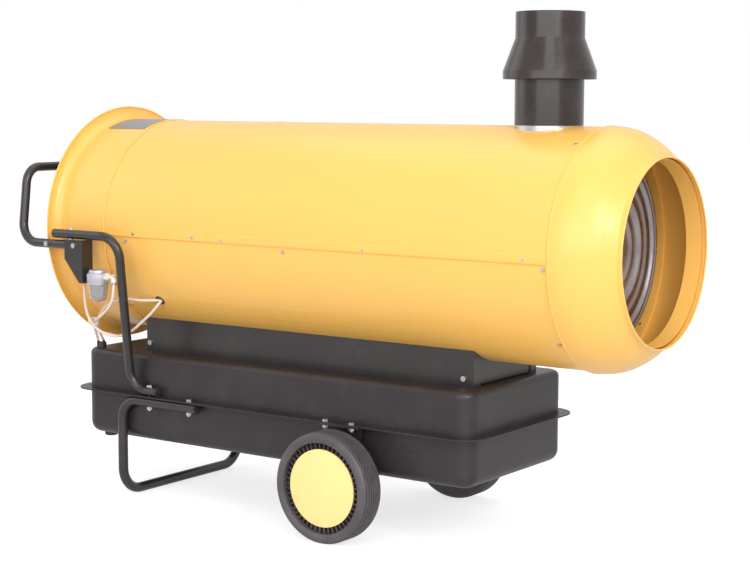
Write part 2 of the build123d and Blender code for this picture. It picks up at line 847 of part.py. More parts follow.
# Grommet in the casing with a sleeve over each hose that goes in: (share along, share around, height)
sleeve_roots = ((0.53, 0.11, grommet_flange), (0.32, -0.06, -sheet))
with BuildPart() as hose_grommet:
    with Locations(on_casing(grommet_setback, grommet_angle, lower_radius)):
        Cylinder(grommet_radius, grommet_flange, align=(Align.CENTER, Align.CENTER, Align.MIN))
        Cylinder(grommet_radius - grommet_flange - hole_gap, 2 * sheet, align=(Align.CENTER, Align.CENTER, Align.MAX))
    for (along_share, around_share, root_height), end in zip(sleeve_roots, (to_burner[-1], back_to_tank[0])):
        root = on_casing(grommet_setback, grommet_angle, lower_radius) * Location(
            (along_share * grommet_radius, around_share * grommet_radius, root_height)
        )
        stub(root, end, sleeve_radius)
export_node(hose_grommet, "hose_grommet")

# Cradle: two side plates that the casing lies in, and two cross braces
cradle_rear_x = rim_x - cradle_rear_setback
cradle_front_x = rim_x - cradle_front_setback
cradle_length = cradle_front_x - cradle_rear_x
cradle_height = axis_height - tank_top_z
cradle_bolt_setbacks = (rear_cradle_bolt_setback, front_cradle_bolt_setback)


def cut_casing_seat():
    with BuildSketch(Plane.YZ.offset(cradle_rear_x - overrun)) as casing_section:
        with Locations((0, axis_height)):
            Circle(lower_radius)
    extrude(casing_section.sketch, amount=cradle_length + 2 * overrun, mode=Mode.SUBTRACT)


def cut_cradle_holes(side):
    for setback in cradle_bolt_setbacks:
        place = side_place(rim_x - setback, side * cradle_half_width, tank_top_z + cradle_bolt_rise, side)
        with Locations(place):
            Cylinder(bolt_radius + hole_gap, cradle_return, mode=Mode.SUBTRACT)


for name, side in sides.items():
    with BuildPart() as cradle_side:
        with BuildSketch(Plane.XY.offset(tank_top_z)):
            with Locations((cradle_rear_x + cradle_length / 2, side * (cradle_half_width - cradle_plate / 2))):
                Rectangle(cradle_length, cradle_plate)
            for x in (cradle_rear_x + cradle_plate / 2, cradle_front_x - cradle_plate / 2):
                with Locations((x, side * (cradle_half_width - cradle_return / 2))):
                    Rectangle(cradle_plate, cradle_return)
        extrude(amount=cradle_height)
        with BuildSketch(Plane.XY.offset(tank_top_z)):
            with Locations((cradle_rear_x + cradle_length / 2, side * (cradle_half_width - cradle_foot / 2))):
                Rectangle(cradle_length, cradle_foot)
        extrude(amount=cradle_plate)
        cut_casing_seat()
        cut_cradle_holes(side)
    export_node(cradle_side, f"cradle_{name}")

brace_half_width = cradle_half_width - cradle_plate
brace_bottom_z = tank_top_z + cradle_plate
brace_webs = (
    (cradle_rear_x + cradle_plate, cradle_plate, 1),
    (cradle_front_x - cradle_plate, -cradle_plate, -1),
)
with BuildPart() as cradle_braces:
    for web_x, web_thickness, way in brace_webs:
        with BuildSketch(Plane.XY.offset(brace_bottom_z)):
            with Locations((web_x + web_thickness / 2, 0)):
                Rectangle(cradle_plate, 2 * brace_half_width)
        extrude(amount=cradle_height)
        with BuildSketch(Plane.XY.offset(brace_bottom_z)):
            for side in sides.values():
                with Locations((web_x + way * brace_tab / 2, side * (brace_half_width - cradle_plate / 2))):
                    Rectangle(brace_tab, cradle_plate)
        extrude(amount=2 * cradle_bolt_rise)
    cut_casing_seat()
    for side in sides.values():
        cut_cradle_holes(side)
export_node(cradle_braces, "cradle_braces")

# Axle brackets: a tab under the tank's flange, a web down to the axle and a boss round it
tab_top_z = tank_flange_z - tank_wall
for name, side in sides.items():
    with BuildPart() as axle_bracket:
        with BuildSketch(Plane((wheel_x, side * bracket_web_y, axle_z), x_dir=(1, 0, 0), z_dir=(0, -1, 0))) as web:
            Circle(bracket_boss_radius)
            with Locations((0, tab_top_z - axle_z - bracket_plate / 2)):
                Rectangle(bracket_top_width, bracket_plate)
            make_hull(web.edges())
        extrude(amount=-side * bracket_plate)
        with BuildSketch(Plane.XY.offset(tab_top_z)):
            with Locations((wheel_x, side * (bracket_web_y + flange_half_width) / 2)):
                Rectangle(bracket_top_width, flange_half_width - bracket_web_y)
            with Locations(*flange_bolt_places):
                Circle(bolt_radius + hole_gap, mode=Mode.SUBTRACT)
        extrude(amount=-bracket_plate)
        with Locations(side_place(wheel_x, side * bracket_web_y, axle_z, side)):
            Cylinder(axle_radius + hole_gap, bracket_boss_radius, mode=Mode.SUBTRACT)
    export_node(axle_bracket, f"axle_bracket_{name}")

# Axle with a spacer beside each bracket and a retaining washer outside each wheel
hub_inner_y = wheel_outer_y - tyre_width + hub_inset
hub_outer_y = hub_inner_y + hub_length
axle_end_y = hub_outer_y + 2 * running_gap + washer_thickness
with BuildPart() as axle:
    with Locations(side_place(wheel_x, 0, axle_z, 1)):
        Cylinder(axle_radius, 2 * axle_end_y)
    for side in sides.values():
        with Locations(side_place(wheel_x, side * (bracket_web_y + bracket_plate), axle_z, side)):
            Cylinder(
                washer_radius, hub_inner_y - running_gap - bracket_web_y - bracket_plate,
                align=(Align.CENTER, Align.CENTER, Align.MIN),
            )
        with Locations(side_place(wheel_x, side * (hub_outer_y + running_gap), axle_z, side)):
            Cylinder(washer_radius, washer_thickness, align=(Align.CENTER, Align.CENTER, Align.MIN))
export_node(axle, "axle")

# Wheels: tyre, ribbed rim and a pale domed hub cap
cap_seat_y = wheel_outer_y - cap_recess - disc_edge
rim_inner_y = wheel_outer_y - tyre_width + rim_wall
for name, side in sides.items():
    # local x along the casing, local y out from the axle's middle, turned about the axle
    wheel_plane = Plane.XY.offset(axle_z).shift_origin((wheel_x, 0, axle_z))
    with BuildPart() as tyre:
        with BuildSketch(wheel_plane):
            with Locations(((wheel_radius + tyre_seat_radius) / 2, side * (wheel_outer_y - tyre_width / 2))):
                tread = Rectangle(wheel_radius - tyre_seat_radius, tyre_width)
            fillet(tread.vertices().group_by(Axis.X)[-1], tyre_shoulder)
            with Locations((wheel_radius, side * (wheel_outer_y - tyre_width / 2))):
                with GridLocations(0, groove_pitch, 1, groove_count):
                    Rectangle(2 * groove_depth, groove_width, mode=Mode.SUBTRACT)
        revolve(axis=wheel_axis, revolution_arc=360)
    export_node(tyre, f"tyre_{name}")

    with BuildPart() as rim:
        with BuildSketch(wheel_plane):
            with Locations(((axle_radius + running_gap + hub_radius) / 2, side * (hub_inner_y + hub_outer_y) / 2)):
                Rectangle(hub_radius - axle_radius - running_gap, hub_length)
            web_y = side * (hub_inner_y + hub_outer_y) / 2
            with Locations(((hub_radius + tyre_seat_radius) / 2 - rim_wall / 4, web_y)):
                Rectangle(tyre_seat_radius - hub_radius - rim_wall / 2, rim_wall)
            with Locations((tyre_seat_radius - rim_wall / 2, side * (rim_inner_y + cap_seat_y) / 2)):
                Rectangle(rim_wall, cap_seat_y - rim_inner_y)
            with Locations((tyre_seat_radius - 3 * rim_wall / 2, side * (cap_seat_y - disc_edge / 2))):
                Rectangle(3 * rim_wall, disc_edge)
        revolve(axis=wheel_axis, revolution_arc=360)
        with Locations(side_place(wheel_x, side * cap_seat_y, axle_z, side)):
            with PolarLocations((disc_radius + tyre_seat_radius) / 2, rib_count):
                Box(
                    tyre_seat_radius - disc_radius - 2 * fit_gap, rib_width, rib_depth,
                    align=(Align.CENTER, Align.CENTER, Align.MIN),
                )
    export_node(rim, f"rim_{name}")

    with BuildPart() as hub_cap:
        with BuildSketch(wheel_plane):
            with BuildLine():
                dome_y = cap_seat_y + disc_edge + disc_dome
                Polyline(
                    (0, side * (cap_seat_y + disc_dome)),
                    (0, side * (dome_y - dimple_depth)),
                    (dimple_radius, side * (dome_y - dimple_depth)),
                    (dimple_radius, side * dome_y),
                )
                TangentArc((dimple_radius, side * dome_y), (disc_radius, side * (dome_y - disc_dome)), tangent=(1, 0))
                Polyline(
                    (disc_radius, side * (dome_y - disc_dome)),
                    (disc_radius, side * cap_seat_y),
                    (disc_radius - rim_wall, side * cap_seat_y),
                )
                TangentArc(
                    (0, side * (cap_seat_y + disc_dome)), (disc_radius - rim_wall, side * cap_seat_y), tangent=(1, 0)
                )
            make_face()
        revolve(axis=wheel_axis, revolution_arc=360)
    export_node(hub_cap, f"hub_cap_{name}")

# Rear leg: one tube, bent down behind the tank and across the floor side
flange_bottom_z = tank_flange_z - tank_wall
flange_top_z = tank_flange_z + tank_wall
leg_z = flange_bottom_z - leg_radius
leg_foot_z = leg_radius
leg_front_x = rim_x - leg_front_setback
leg_points = [
    (leg_front_x, -leg_y, leg_z),
    (leg_x, -leg_y, leg_z),
    (leg_x, -leg_y, leg_foot_z),
    (leg_x, leg_y, leg_foot_z),
    (leg_x, leg_y, leg_z),
    (leg_front_x, leg_y, leg_z),
]
with BuildPart() as rear_leg:
    with BuildLine():
        leg_line = FilletPolyline(*leg_points, radius=[leg_top_bend, leg_foot_bend, leg_foot_bend, leg_top_bend])
    tube_along(leg_line, leg_radius, tube_wall)
    with Locations(*[(rim_x - setback, side * leg_y, leg_z)
                     for setback in (rear_bolt_setback, front_bolt_setback) for side in sides.values()]):
        Cylinder(bolt_radius + hole_gap, 2 * leg_radius + overrun, mode=Mode.SUBTRACT)
export_node(rear_leg, "rear_leg")

# Uprights: from the tank's flange up beside the casing and back under the handle's ends
upright_low_z = flange_top_z + tube_radius
upright_high_z = axis_height - upright_drop
handle_low_z = axis_height - handle_drop
for name, side in sides.items():
    upright_points = [
        (rim_x - upright_end_setback, side * leg_y, upright_low_z),
        (rim_x - upright_low_setback, side * leg_y, upright_low_z),
        (rim_x - upright_high_setback, side * handle_y, upright_high_z),
        (rim_x - upright_rear_setback, side * handle_y, upright_high_z),
    ]
    with BuildPart() as upright:
        with BuildLine():
            upright_line = FilletPolyline(*upright_points, radius=upright_bend)
        tube_along(upright_line, tube_radius, tube_wall)
        with Locations(
            (rim_x - rear_bolt_setback, side * leg_y, upright_low_z),
            (rim_x - tie_bolt_setback, side * handle_y, upright_high_z),
        ):
            Cylinder(bolt_radius + hole_gap, 2 * tube_radius + overrun, mode=Mode.SUBTRACT)
    export_node(upright, f"upright_{name}")

# Handle: a hoop whose ends run forward beside the casing
handle_front_x = rim_x - handle_front_setback
handle_centre_x = handle_x + tube_radius
handle_points = [
    (handle_front_x, -handle_y, handle_low_z),
    (handle_centre_x, -handle_y, handle_low_z),
    (handle_centre_x, -handle_y + handle_lean, handle_low_z + handle_rise),
    (handle_centre_x, handle_y - handle_lean, handle_low_z + handle_rise),
    (handle_centre_x, handle_y, handle_low_z),
    (handle_front_x, handle_y, handle_low_z),
]
with BuildPart() as handle:
    handle_bends = [handle_low_bend, handle_high_bend, handle_high_bend, handle_low_bend]
    with BuildLine():
        handle_line = FilletPolyline(*handle_points, radius=handle_bends)
    tube_along(handle_line, tube_radius, tube_wall)
    for side in sides.values():
        with Locations(
            *[
                side_place(rim_x - setback, side * handle_y, handle_low_z, side)
                for setback in (rim_bolt_setback, plate_bolt_setback)
            ],
            Location((rim_x - tie_bolt_setback, side * handle_y, handle_low_z)),
        ):
            Cylinder(bolt_radius + hole_gap, 2 * tube_radius + overrun, mode=Mode.SUBTRACT)
export_node(handle, "handle")

# Plastic plugs in the open tube ends, each with its disc outside: (centre, way out, tube radius)
plug_places = []
for side in sides.values():
    plug_places.append(((leg_front_x, side * leg_y, leg_z), (1, 0, 0), leg_radius))
    plug_places.append(((rim_x - upright_end_setback, side * leg_y, upright_low_z), (1, 0, 0), tube_radius))
    plug_places.append(((rim_x - upright_rear_setback, side * handle_y, upright_high_z), (-1, 0, 0), tube_radius))
    plug_places.append(((handle_front_x, side * handle_y, handle_low_z), (1, 0, 0), tube_radius))
with BuildPart() as tube_plugs:
    for centre, outwards, radius in plug_places:
        with Locations(Plane(origin=centre, z_dir=outwards).location):
            Cylinder(radius, plug_thickness, align=(Align.CENTER, Align.CENTER, Align.MIN))
            Cylinder(radius - tube_wall, 3 * plug_thickness, align=(Align.CENTER, Align.CENTER, Align.MAX))
export_node(tube_plugs, "tube_plugs")


inlet_seat_radius = flare_bore(rim_bolt_x)


def add_bolt(seat, grip):
    # hexagon head on the seat's local +z side, shank through the grip, nut below it
    with BuildSketch(Plane(seat)) as head:
        RegularPolygon(bolt_head_radius, 6)
    extrude(head.sketch, amount=bolt_head)
    with BuildSketch(Plane(seat * Location((0, 0, -grip)))) as nut:
        RegularPolygon(bolt_head_radius, 6)
    extrude(nut.sketch, amount=-nut_height)
    with Locations(seat):
        Cylinder(bolt_radius, grip + nut_height + bolt_tail, align=(Align.CENTER, Align.CENTER, Align.MAX))


# Bolts of the frame, with their nuts, washers and spacers
rim_nut_y = math.sqrt(inlet_seat_radius ** 2 - (handle_drop + bolt_head_radius) ** 2) - fit_gap
rim_spacer_y = math.sqrt(flare_radius(rim_bolt_x - spacer_radius) ** 2 - (handle_drop - spacer_radius) ** 2) + fit_gap
with BuildPart() as frame_bolts:
    for side in sides.values():
        add_bolt(Location((rim_x - rear_bolt_setback, side * leg_y, upright_low_z + tube_radius)),
                 2 * tube_radius + 2 * tank_wall + 2 * leg_radius)
        add_bolt(Location((rim_x - front_bolt_setback, side * leg_y, flange_top_z)), 2 * tank_wall + 2 * leg_radius)
        for shift in (-bracket_bolt_spread / 2, bracket_bolt_spread / 2):
            add_bolt(Location((wheel_x + bracket_bolt_shift + shift, side * bracket_bolt_y, flange_top_z)),
                     2 * tank_wall + bracket_plate)
        add_bolt(Location((rim_x - tie_bolt_setback, side * handle_y, upright_high_z + tube_radius)),
                 upright_high_z - handle_low_z + 2 * tube_radius)
        with Locations((rim_x - tie_bolt_setback, side * handle_y, (upright_high_z + handle_low_z) / 2)):
            Cylinder(spacer_radius, upright_high_z - handle_low_z - 2 * tube_radius)
        add_bolt(side_place(rim_bolt_x, side * (handle_y + tube_radius), handle_low_z, side),
                 handle_y + tube_radius - rim_nut_y)
        with Locations(side_place(rim_bolt_x, side * rim_spacer_y, handle_low_z, side)):
            Cylinder(
                spacer_radius, handle_y - tube_radius - rim_spacer_y, align=(Align.CENTER, Align.CENTER, Align.MIN)
            )
        plate_grip = filter_plate if side < 0 else 0
        plate_seat_y = handle_y + tube_radius + plate_grip
        add_bolt(side_place(rim_x - plate_bolt_setback, side * plate_seat_y, handle_low_z, side),
                 2 * tube_radius + plate_grip)
        for setback in cradle_bolt_setbacks:
            add_bolt(side_place(rim_x - setback, side * cradle_half_width, tank_top_z + cradle_bolt_rise, side),
                     2 * cradle_plate)
export_node(frame_bolts, "frame_bolts")

# Fuel filter: bracket on the right handle tube, head with two elbows, and a clear bowl
filter_x = rim_x - filter_setback
filter_top_z = axis_height - filter_drop
filter_port_z = filter_top_z - filter_port_drop
bracket_face_y = -(handle_y + tube_radius)
fold_x = rim_x - filter_plate_fold_setback
plate_back_x = rim_x - filter_plate_rear_setback
bracket_profile = [
    (plate_back_x, handle_low_z + filter_plate_top),
    (fold_x, handle_low_z + filter_plate_top),
    (fold_x, handle_low_z - filter_plate_tip),
    (fold_x - filter_tip_width, handle_low_z - filter_plate_tip),
    (plate_back_x, handle_low_z - filter_plate_shoulder),
]
with BuildPart() as filter_bracket:
    with BuildSketch(Plane((0, bracket_face_y, 0), x_dir=(1, 0, 0), z_dir=(0, -1, 0))):
        with BuildLine():
            Polyline(*bracket_profile, close=True)
        make_face()
    extrude(amount=filter_plate)
    with BuildSketch(Plane.XY.offset(handle_low_z - filter_plate_tip)):
        with Locations((fold_x + filter_plate / 2, bracket_face_y - filter_plate)):
            Rectangle(filter_plate, filter_side_depth + filter_plate, align=(Align.CENTER, Align.MIN))
    extrude(amount=filter_plate_tip + filter_plate_top)
    with Locations(
        side_place(rim_x - plate_bolt_setback, bracket_face_y, handle_low_z, -1),
        Plane(origin=(fold_x, -filter_y, filter_port_z), z_dir=(1, 0, 0)).location,
    ):
        Cylinder(port_radius + hole_gap, 4 * filter_plate, mode=Mode.SUBTRACT)
export_node(filter_bracket, "filter_bracket")

boss_length = filter_x - filter_head_radius - fold_x - filter_plate
with BuildPart() as filter_head:
    with Locations((filter_x, -filter_y, filter_top_z)):
        Cylinder(filter_head_radius, filter_head_height, align=(Align.CENTER, Align.CENTER, Align.MAX))
    chamfer(filter_head.edges().group_by(Axis.Z)[-1], filter_wall_chamfer)
    with Locations(Plane(origin=(fold_x + filter_plate, -filter_y, filter_port_z), z_dir=(1, 0, 0)).location):
        Cylinder(filter_boss_radius, boss_length + filter_boss_radius, align=(Align.CENTER, Align.CENTER, Align.MIN))
    for reach in (-left_port_reach, right_port_reach):
        elbow_points = [
            (filter_x, -filter_y, filter_port_z),
            (filter_x + reach, -filter_y, filter_port_z),
            (filter_x + reach, -filter_y, filter_port_z - port_end_drop),
        ]
        with BuildLine():
            elbow_line = FilletPolyline(*elbow_points, radius=elbow_bend)
        tube_along(elbow_line, port_radius)
export_node(filter_head, "filter_head")

with BuildPart() as filter_bowl:
    with Locations((filter_x, -filter_y, filter_top_z - filter_head_height)):
        Cylinder(filter_bowl_radius, filter_bowl_height, align=(Align.CENTER, Align.CENTER, Align.MAX))
    fillet(filter_bowl.edges().group_by(Axis.Z)[0], filter_bowl_round)
    offset(amount=-filter_bowl_wall, openings=filter_bowl.faces().sort_by(Axis.Z)[-1])
export_node(filter_bowl, "filter_bowl")

# Wire guard over the inlet's mouth
guard_x = rim_x - guard_setback
guard_outer_radius = flare_bore(guard_x + 2 * guard_bar)
guard_ring_pitch = (guard_outer_radius - guard_wire - guard_hub_radius) / (guard_rings - 1)
with BuildPart() as fan_guard:
    with Locations(Plane(origin=(guard_x, 0, axis_height), z_dir=(1, 0, 0)).location):
        Cylinder(guard_hub_radius, 2 * guard_wire)
    with BuildSketch(radial_plane(0)):
        for index in range(1, guard_rings):
            with Locations((guard_x, guard_hub_radius + index * guard_ring_pitch)):
                Circle(guard_wire)
    revolve(axis=casing_axis, revolution_arc=360)
    with BuildSketch(Plane(origin=(guard_x, 0, axis_height), x_dir=(0, 1, 0), z_dir=(1, 0, 0))):
        with PolarLocations(guard_outer_radius / 2, guard_bars, start_angle=180 / guard_bars):
            Rectangle(guard_outer_radius, 2 * guard_bar)
        Circle(guard_outer_radius, mode=Mode.INTERSECT)
    extrude(amount=2 * guard_bar)
export_node(fan_guard, "fan_guard")

# Fan motor on a three-armed plate in the flare
motor_rear_x = rim_x - motor_rear_setback
motor_front_x = motor_rear_x + motor_length
motor_plane = Plane(origin=(motor_rear_x, 0, axis_height), x_dir=(0, 1, 0), z_dir=(1, 0, 0))
with BuildPart() as fan_motor:
    with BuildSketch(motor_plane):
        Circle(motor_radius)
        with PolarLocations(motor_radius, motor_fin_count):
            Rectangle(motor_fin_depth, motor_fin_width, mode=Mode.SUBTRACT)
    extrude(amount=motor_length)
    with BuildSketch(motor_plane, motor_plane.offset(motor_length - motor_end_length)):
        Circle(motor_radius)
    extrude(amount=motor_end_length)
    fillet(fan_motor.edges().filter_by(GeomType.CIRCLE).group_by(Axis.X)[0], motor_end_round)
    with Locations(motor_plane.offset(motor_length).location):
        Cylinder(shaft_radius + running_gap, shaft_engagement, align=(Align.CENTER, Align.CENTER, Align.MAX),
                 mode=Mode.SUBTRACT)
export_node(fan_motor, "fan_motor")

motor_plate_x = rim_x - motor_plate_setback
arm_reach = flare_bore(motor_plate_x)
with BuildPart() as motor_bracket:
    with BuildSketch(Plane(origin=(motor_plate_x, 0, axis_height), x_dir=(0, 1, 0), z_dir=(1, 0, 0))):
        Circle(motor_radius + motor_arm_width / 2)
        with PolarLocations(arm_reach / 2, motor_arm_count, start_angle=90):
            Rectangle(arm_reach, motor_arm_width)
        Circle(arm_reach, mode=Mode.INTERSECT)
        Circle(motor_radius, mode=Mode.SUBTRACT)
    extrude(amount=motor_plate)
export_node(motor_bracket, "motor_bracket")

# Axial fan with its shaft
fan_x = rim_x - fan_setback
shaft_end_x = motor_front_x - shaft_engagement + running_gap
blade_root_share = 0.6
with BuildPart() as fan:
    with Locations(Plane(origin=(fan_x, 0, axis_height), z_dir=(1, 0, 0)).location):
        Cylinder(fan_hub_radius, fan_hub_length)
    with Locations(Plane(origin=(shaft_end_x, 0, axis_height), z_dir=(1, 0, 0)).location):
        Cylinder(shaft_radius, fan_x - shaft_end_x, align=(Align.CENTER, Align.CENTER, Align.MIN))
    blade_sections = (
        (blade_root_share * fan_hub_radius, blade_root_chord, blade_root_pitch),
        (fan_radius, blade_tip_chord, blade_tip_pitch),
    )
    for index in range(blade_count):
        turn = math.radians(360 / blade_count * index)
        outwards = Vector(0, math.cos(turn), math.sin(turn))
        around = Vector(0, -math.sin(turn), math.cos(turn))
        sections = []
        for radius, chord, pitch in blade_sections:
            tilt = math.radians(pitch)
            chord_direction = around * math.cos(tilt) + Vector(math.sin(tilt), 0, 0)
            origin = Vector(fan_x, 0, axis_height) + outwards * radius
            with BuildSketch(Plane(origin=origin, x_dir=chord_direction, z_dir=outwards)) as blade_section:
                Rectangle(chord, blade_thickness)
            sections.append(blade_section.sketch.face())
        loft(sections, ruled=True)
export_node(fan, "fan")

# Burner: a housing with a side-driven impeller, motor on the left and pump on the right
burner_rear_x = rim_x - burner_rear_setback
burner_x = burner_rear_x + burner_length / 2
burner_front_x = burner_rear_x + burner_length
burner_height = burner_top + burner_bottom
impeller_z = axis_height - impeller_drop
with BuildPart() as burner_housing:
    with Locations((burner_x, 0, axis_height - burner_bottom + burner_height / 2)):
        Box(burner_length, 2 * burner_half_width, burner_height)
        Box(
            burner_length - 2 * burner_wall, 2 * (burner_half_width - burner_wall), burner_height - 2 * burner_wall,
            mode=Mode.SUBTRACT,
        )
    fillet(burner_housing.edges().filter_by(Axis.Y).group_by(Axis.Z)[-1], burner_round)
    with Locations(Plane(origin=(burner_front_x, 0, axis_height), z_dir=(1, 0, 0)).location):
        Cylinder(blast_radius - drum_wall, 3 * burner_wall, mode=Mode.SUBTRACT)
    with Locations(side_place(burner_x, 0, impeller_z, 1)):
        Cylinder(burner_shaft_radius + running_gap, 3 * burner_half_width, mode=Mode.SUBTRACT)
    with Locations(Plane(origin=(burner_rear_x, 0, impeller_z), x_dir=(0, 1, 0), z_dir=(1, 0, 0)).location):
        Cylinder(damper_pin_radius + running_gap, 3 * burner_wall, mode=Mode.SUBTRACT)
        with PolarLocations(damper_port_offset, damper_port_count):
            Cylinder(damper_port_radius, 3 * burner_wall, mode=Mode.SUBTRACT)
export_node(burner_housing, "burner_housing")

with BuildPart() as air_damper:
    with Locations(
        Plane(origin=(burner_rear_x - running_gap, 0, impeller_z), x_dir=(0, 1, 0), z_dir=(-1, 0, 0)).location
    ):
        Cylinder(damper_radius, damper_thickness, align=(Align.CENTER, Align.CENTER, Align.MIN))
        with PolarLocations(damper_port_offset, damper_port_count):
            Cylinder(damper_port_radius, 3 * damper_thickness, mode=Mode.SUBTRACT)
        Cylinder(damper_knob_radius, damper_knob_height, align=(Align.CENTER, Align.CENTER, Align.MIN))
        Cylinder(damper_pin_radius, 2 * burner_wall, align=(Align.CENTER, Align.CENTER, Align.MAX))
export_node(air_damper, "air_damper")

with BuildPart() as burner_impeller:
    with Locations(*[side_place(burner_x, side * impeller_half_width, impeller_z, side) for side in sides.values()]):
        Cylinder(impeller_radius, damper_thickness)
        Cylinder(impeller_radius - impeller_blade, damper_thickness, mode=Mode.SUBTRACT)
    with Locations(side_place(burner_x, 0, impeller_z, 1)):
        with PolarLocations(impeller_radius - impeller_blade / 2, impeller_blade_count):
            Box(impeller_blade - burner_wall, damper_thickness, 2 * impeller_half_width)
        Cylinder(impeller_radius - burner_wall, burner_wall)
        Cylinder(2 * burner_shaft_radius, impeller_half_width)
        Cylinder(burner_shaft_radius, 2 * (burner_half_width + shaft_engagement - running_gap))
export_node(burner_impeller, "burner_impeller")

burner_drives = {
    "burner_motor": (burner_motor_radius, burner_motor_length, 1),
    "fuel_pump": (pump_radius, pump_length, -1),
}
for node, (radius, length, side) in burner_drives.items():
    with BuildPart() as drive:
        with Locations(side_place(burner_x, side * burner_half_width, impeller_z, side)):
            Cylinder(radius, length, align=(Align.CENTER, Align.CENTER, Align.MIN))
        fillet(drive.faces().sort_by(Axis.Y)[0 if side < 0 else -1].edges(), drive_round)
        with Locations(side_place(burner_x, side * burner_half_width, impeller_z, side)):
            Cylinder(
                burner_shaft_radius + running_gap, shaft_engagement, align=(Align.CENTER, Align.CENTER, Align.MIN),
                mode=Mode.SUBTRACT,
            )
    export_node(drive, node)

drum_rear_x = rim_x - drum_rear_setback
drum_front_x = rim_x - drum_front_setback
chamber_front_x = rim_x - chamber_front_setback
with BuildPart() as blast_tube:
    with BuildSketch(Plane(origin=(burner_front_x, 0, axis_height), z_dir=(1, 0, 0))):
        Circle(blast_radius)
        Circle(blast_radius - drum_wall, mode=Mode.SUBTRACT)
    extrude(amount=drum_rear_x - burner_front_x + blast_overlap)
export_node(blast_tube, "blast_tube")

# Heat exchanger: a closed drum with a ribbed front, and the combustion chamber inside it
with BuildPart() as heat_exchanger:
    with BuildSketch(radial_plane(0)):
        with BuildLine():
            Polyline(
                (drum_rear_x, blast_radius),
                (drum_rear_x, drum_radius),
                (drum_front_x, drum_radius),
                (drum_front_x, 0),
                (drum_front_x - drum_wall, 0),
                (drum_front_x - drum_wall, drum_radius - drum_wall),
                (drum_rear_x + drum_wall, drum_radius - drum_wall),
                (drum_rear_x + drum_wall, blast_radius),
                close=True,
            )
        make_face()
        for share in rib_radii_shares:
            with Locations((drum_front_x, share * drum_radius)):
                Circle(rib_section)
    revolve(axis=casing_axis, revolution_arc=360)
    with Locations((flue_x, 0, axis_height + drum_radius)):
        Cylinder(collar_radius - flue_wall, drum_radius / 2, mode=Mode.SUBTRACT)
    for x in (drum_rear_x + strap_inset, drum_front_x - strap_inset):
        for angle in (-90 - strap_spread, -90 + strap_spread):
            with BuildSketch(radial_plane(angle - strap_arc / 2)):
                with Locations((x, (drum_radius - drum_wall / 2 + lower_radius - sheet) / 2)):
                    Rectangle(strap_width, lower_radius - sheet - drum_radius + drum_wall / 2)
            revolve(axis=casing_axis, revolution_arc=strap_arc)
export_node(heat_exchanger, "heat_exchanger")

with BuildPart() as combustion_chamber:
    with BuildSketch(Plane(origin=(drum_rear_x + drum_wall, 0, axis_height), z_dir=(1, 0, 0))):
        Circle(chamber_radius)
        Circle(chamber_radius - drum_wall, mode=Mode.SUBTRACT)
    extrude(amount=chamber_front_x - drum_rear_x)
export_node(combustion_chamber, "combustion_chamber")

# Control box on the left side, with what the operator uses on its face
box_x = rim_x - box_rear_setback + box_length / 2
box_top_z = axis_height - box_top_drop
box_z = box_top_z - box_height / 2
control_places = {
    "knob": -62.0,
    "button": -22.0,
    "lamp": 10.0,
    "socket": 60.0,
}


def on_face(name, height=0.0):
    return side_place(box_x + control_places[name], box_face_y, box_z + height, 1)


lid_hinge_rise = lid_height / 2 + 2 * hinge_radius
with BuildPart() as control_box:
    with BuildSketch(Plane((box_x, box_face_y, box_z), x_dir=(1, 0, 0), z_dir=(0, -1, 0))):
        RectangleRounded(box_length, box_height, box_fillet)
    extrude(amount=box_face_y - box_inner_y)
    with Locations((box_x, (box_face_y - box_wall + box_inner_y) / 2, box_z)):
        Box(
            box_length - 2 * box_wall, box_face_y - box_wall - box_inner_y, box_height - 2 * box_wall,
            mode=Mode.SUBTRACT,
        )
    with BuildSketch(Plane.YZ.offset(box_x - box_length)) as shell_section:
        with Locations((0, axis_height)):
            Circle(lower_radius)
    extrude(shell_section.sketch, amount=2 * box_length, mode=Mode.SUBTRACT)
    with Locations(on_face("knob")):
        Cylinder(button_radius / 2 + running_gap, 3 * box_wall, mode=Mode.SUBTRACT)
    with Locations(on_face("button")):
        Cylinder(button_radius + running_gap, 3 * box_wall, mode=Mode.SUBTRACT)
    with Locations(on_face("lamp"), on_face("socket")):
        Cylinder(lamp_radius, 3 * box_wall, mode=Mode.SUBTRACT)
    for shift in (-lid_width / 3, lid_width / 3):
        with Locations(on_face("socket") * Location((shift, -lid_hinge_rise, 0))):
            Box(2 * hinge_radius, 2 * hinge_radius, 2 * hinge_radius, align=(Align.CENTER, Align.CENTER, Align.MIN))
    with Locations((box_x - box_length / 4, (box_face_y + lower_radius) / 2, box_z - box_height / 2)):
        Cylinder(gland_radius, gland_length, align=(Align.CENTER, Align.CENTER, Align.MAX))
        Cylinder(gland_radius / 2, 3 * gland_length, mode=Mode.SUBTRACT)
export_node(control_box, "control_box")

with BuildPart() as selector_knob:
    with Locations(on_face("knob") * Location((0, 0, running_gap))):
        Cylinder(knob_radius, knob_height / 3, align=(Align.CENTER, Align.CENTER, Align.MIN))
        Box(2 * knob_radius - knob_bar, knob_bar, knob_height, align=(Align.CENTER, Align.CENTER, Align.MIN))
        Cylinder(button_radius / 2, 2 * box_wall, align=(Align.CENTER, Align.CENTER, Align.MAX))
export_node(selector_knob, "selector_knob")

with BuildPart() as reset_button:
    with Locations(on_face("button")):
        Cylinder(button_radius, button_height, align=(Align.CENTER, Align.CENTER, Align.MIN))
        Cylinder(button_radius, 2 * box_wall, align=(Align.CENTER, Align.CENTER, Align.MAX))
    fillet(reset_button.faces().sort_by(Axis.Y)[-1].edges(), button_height / 4)
export_node(reset_button, "reset_button")

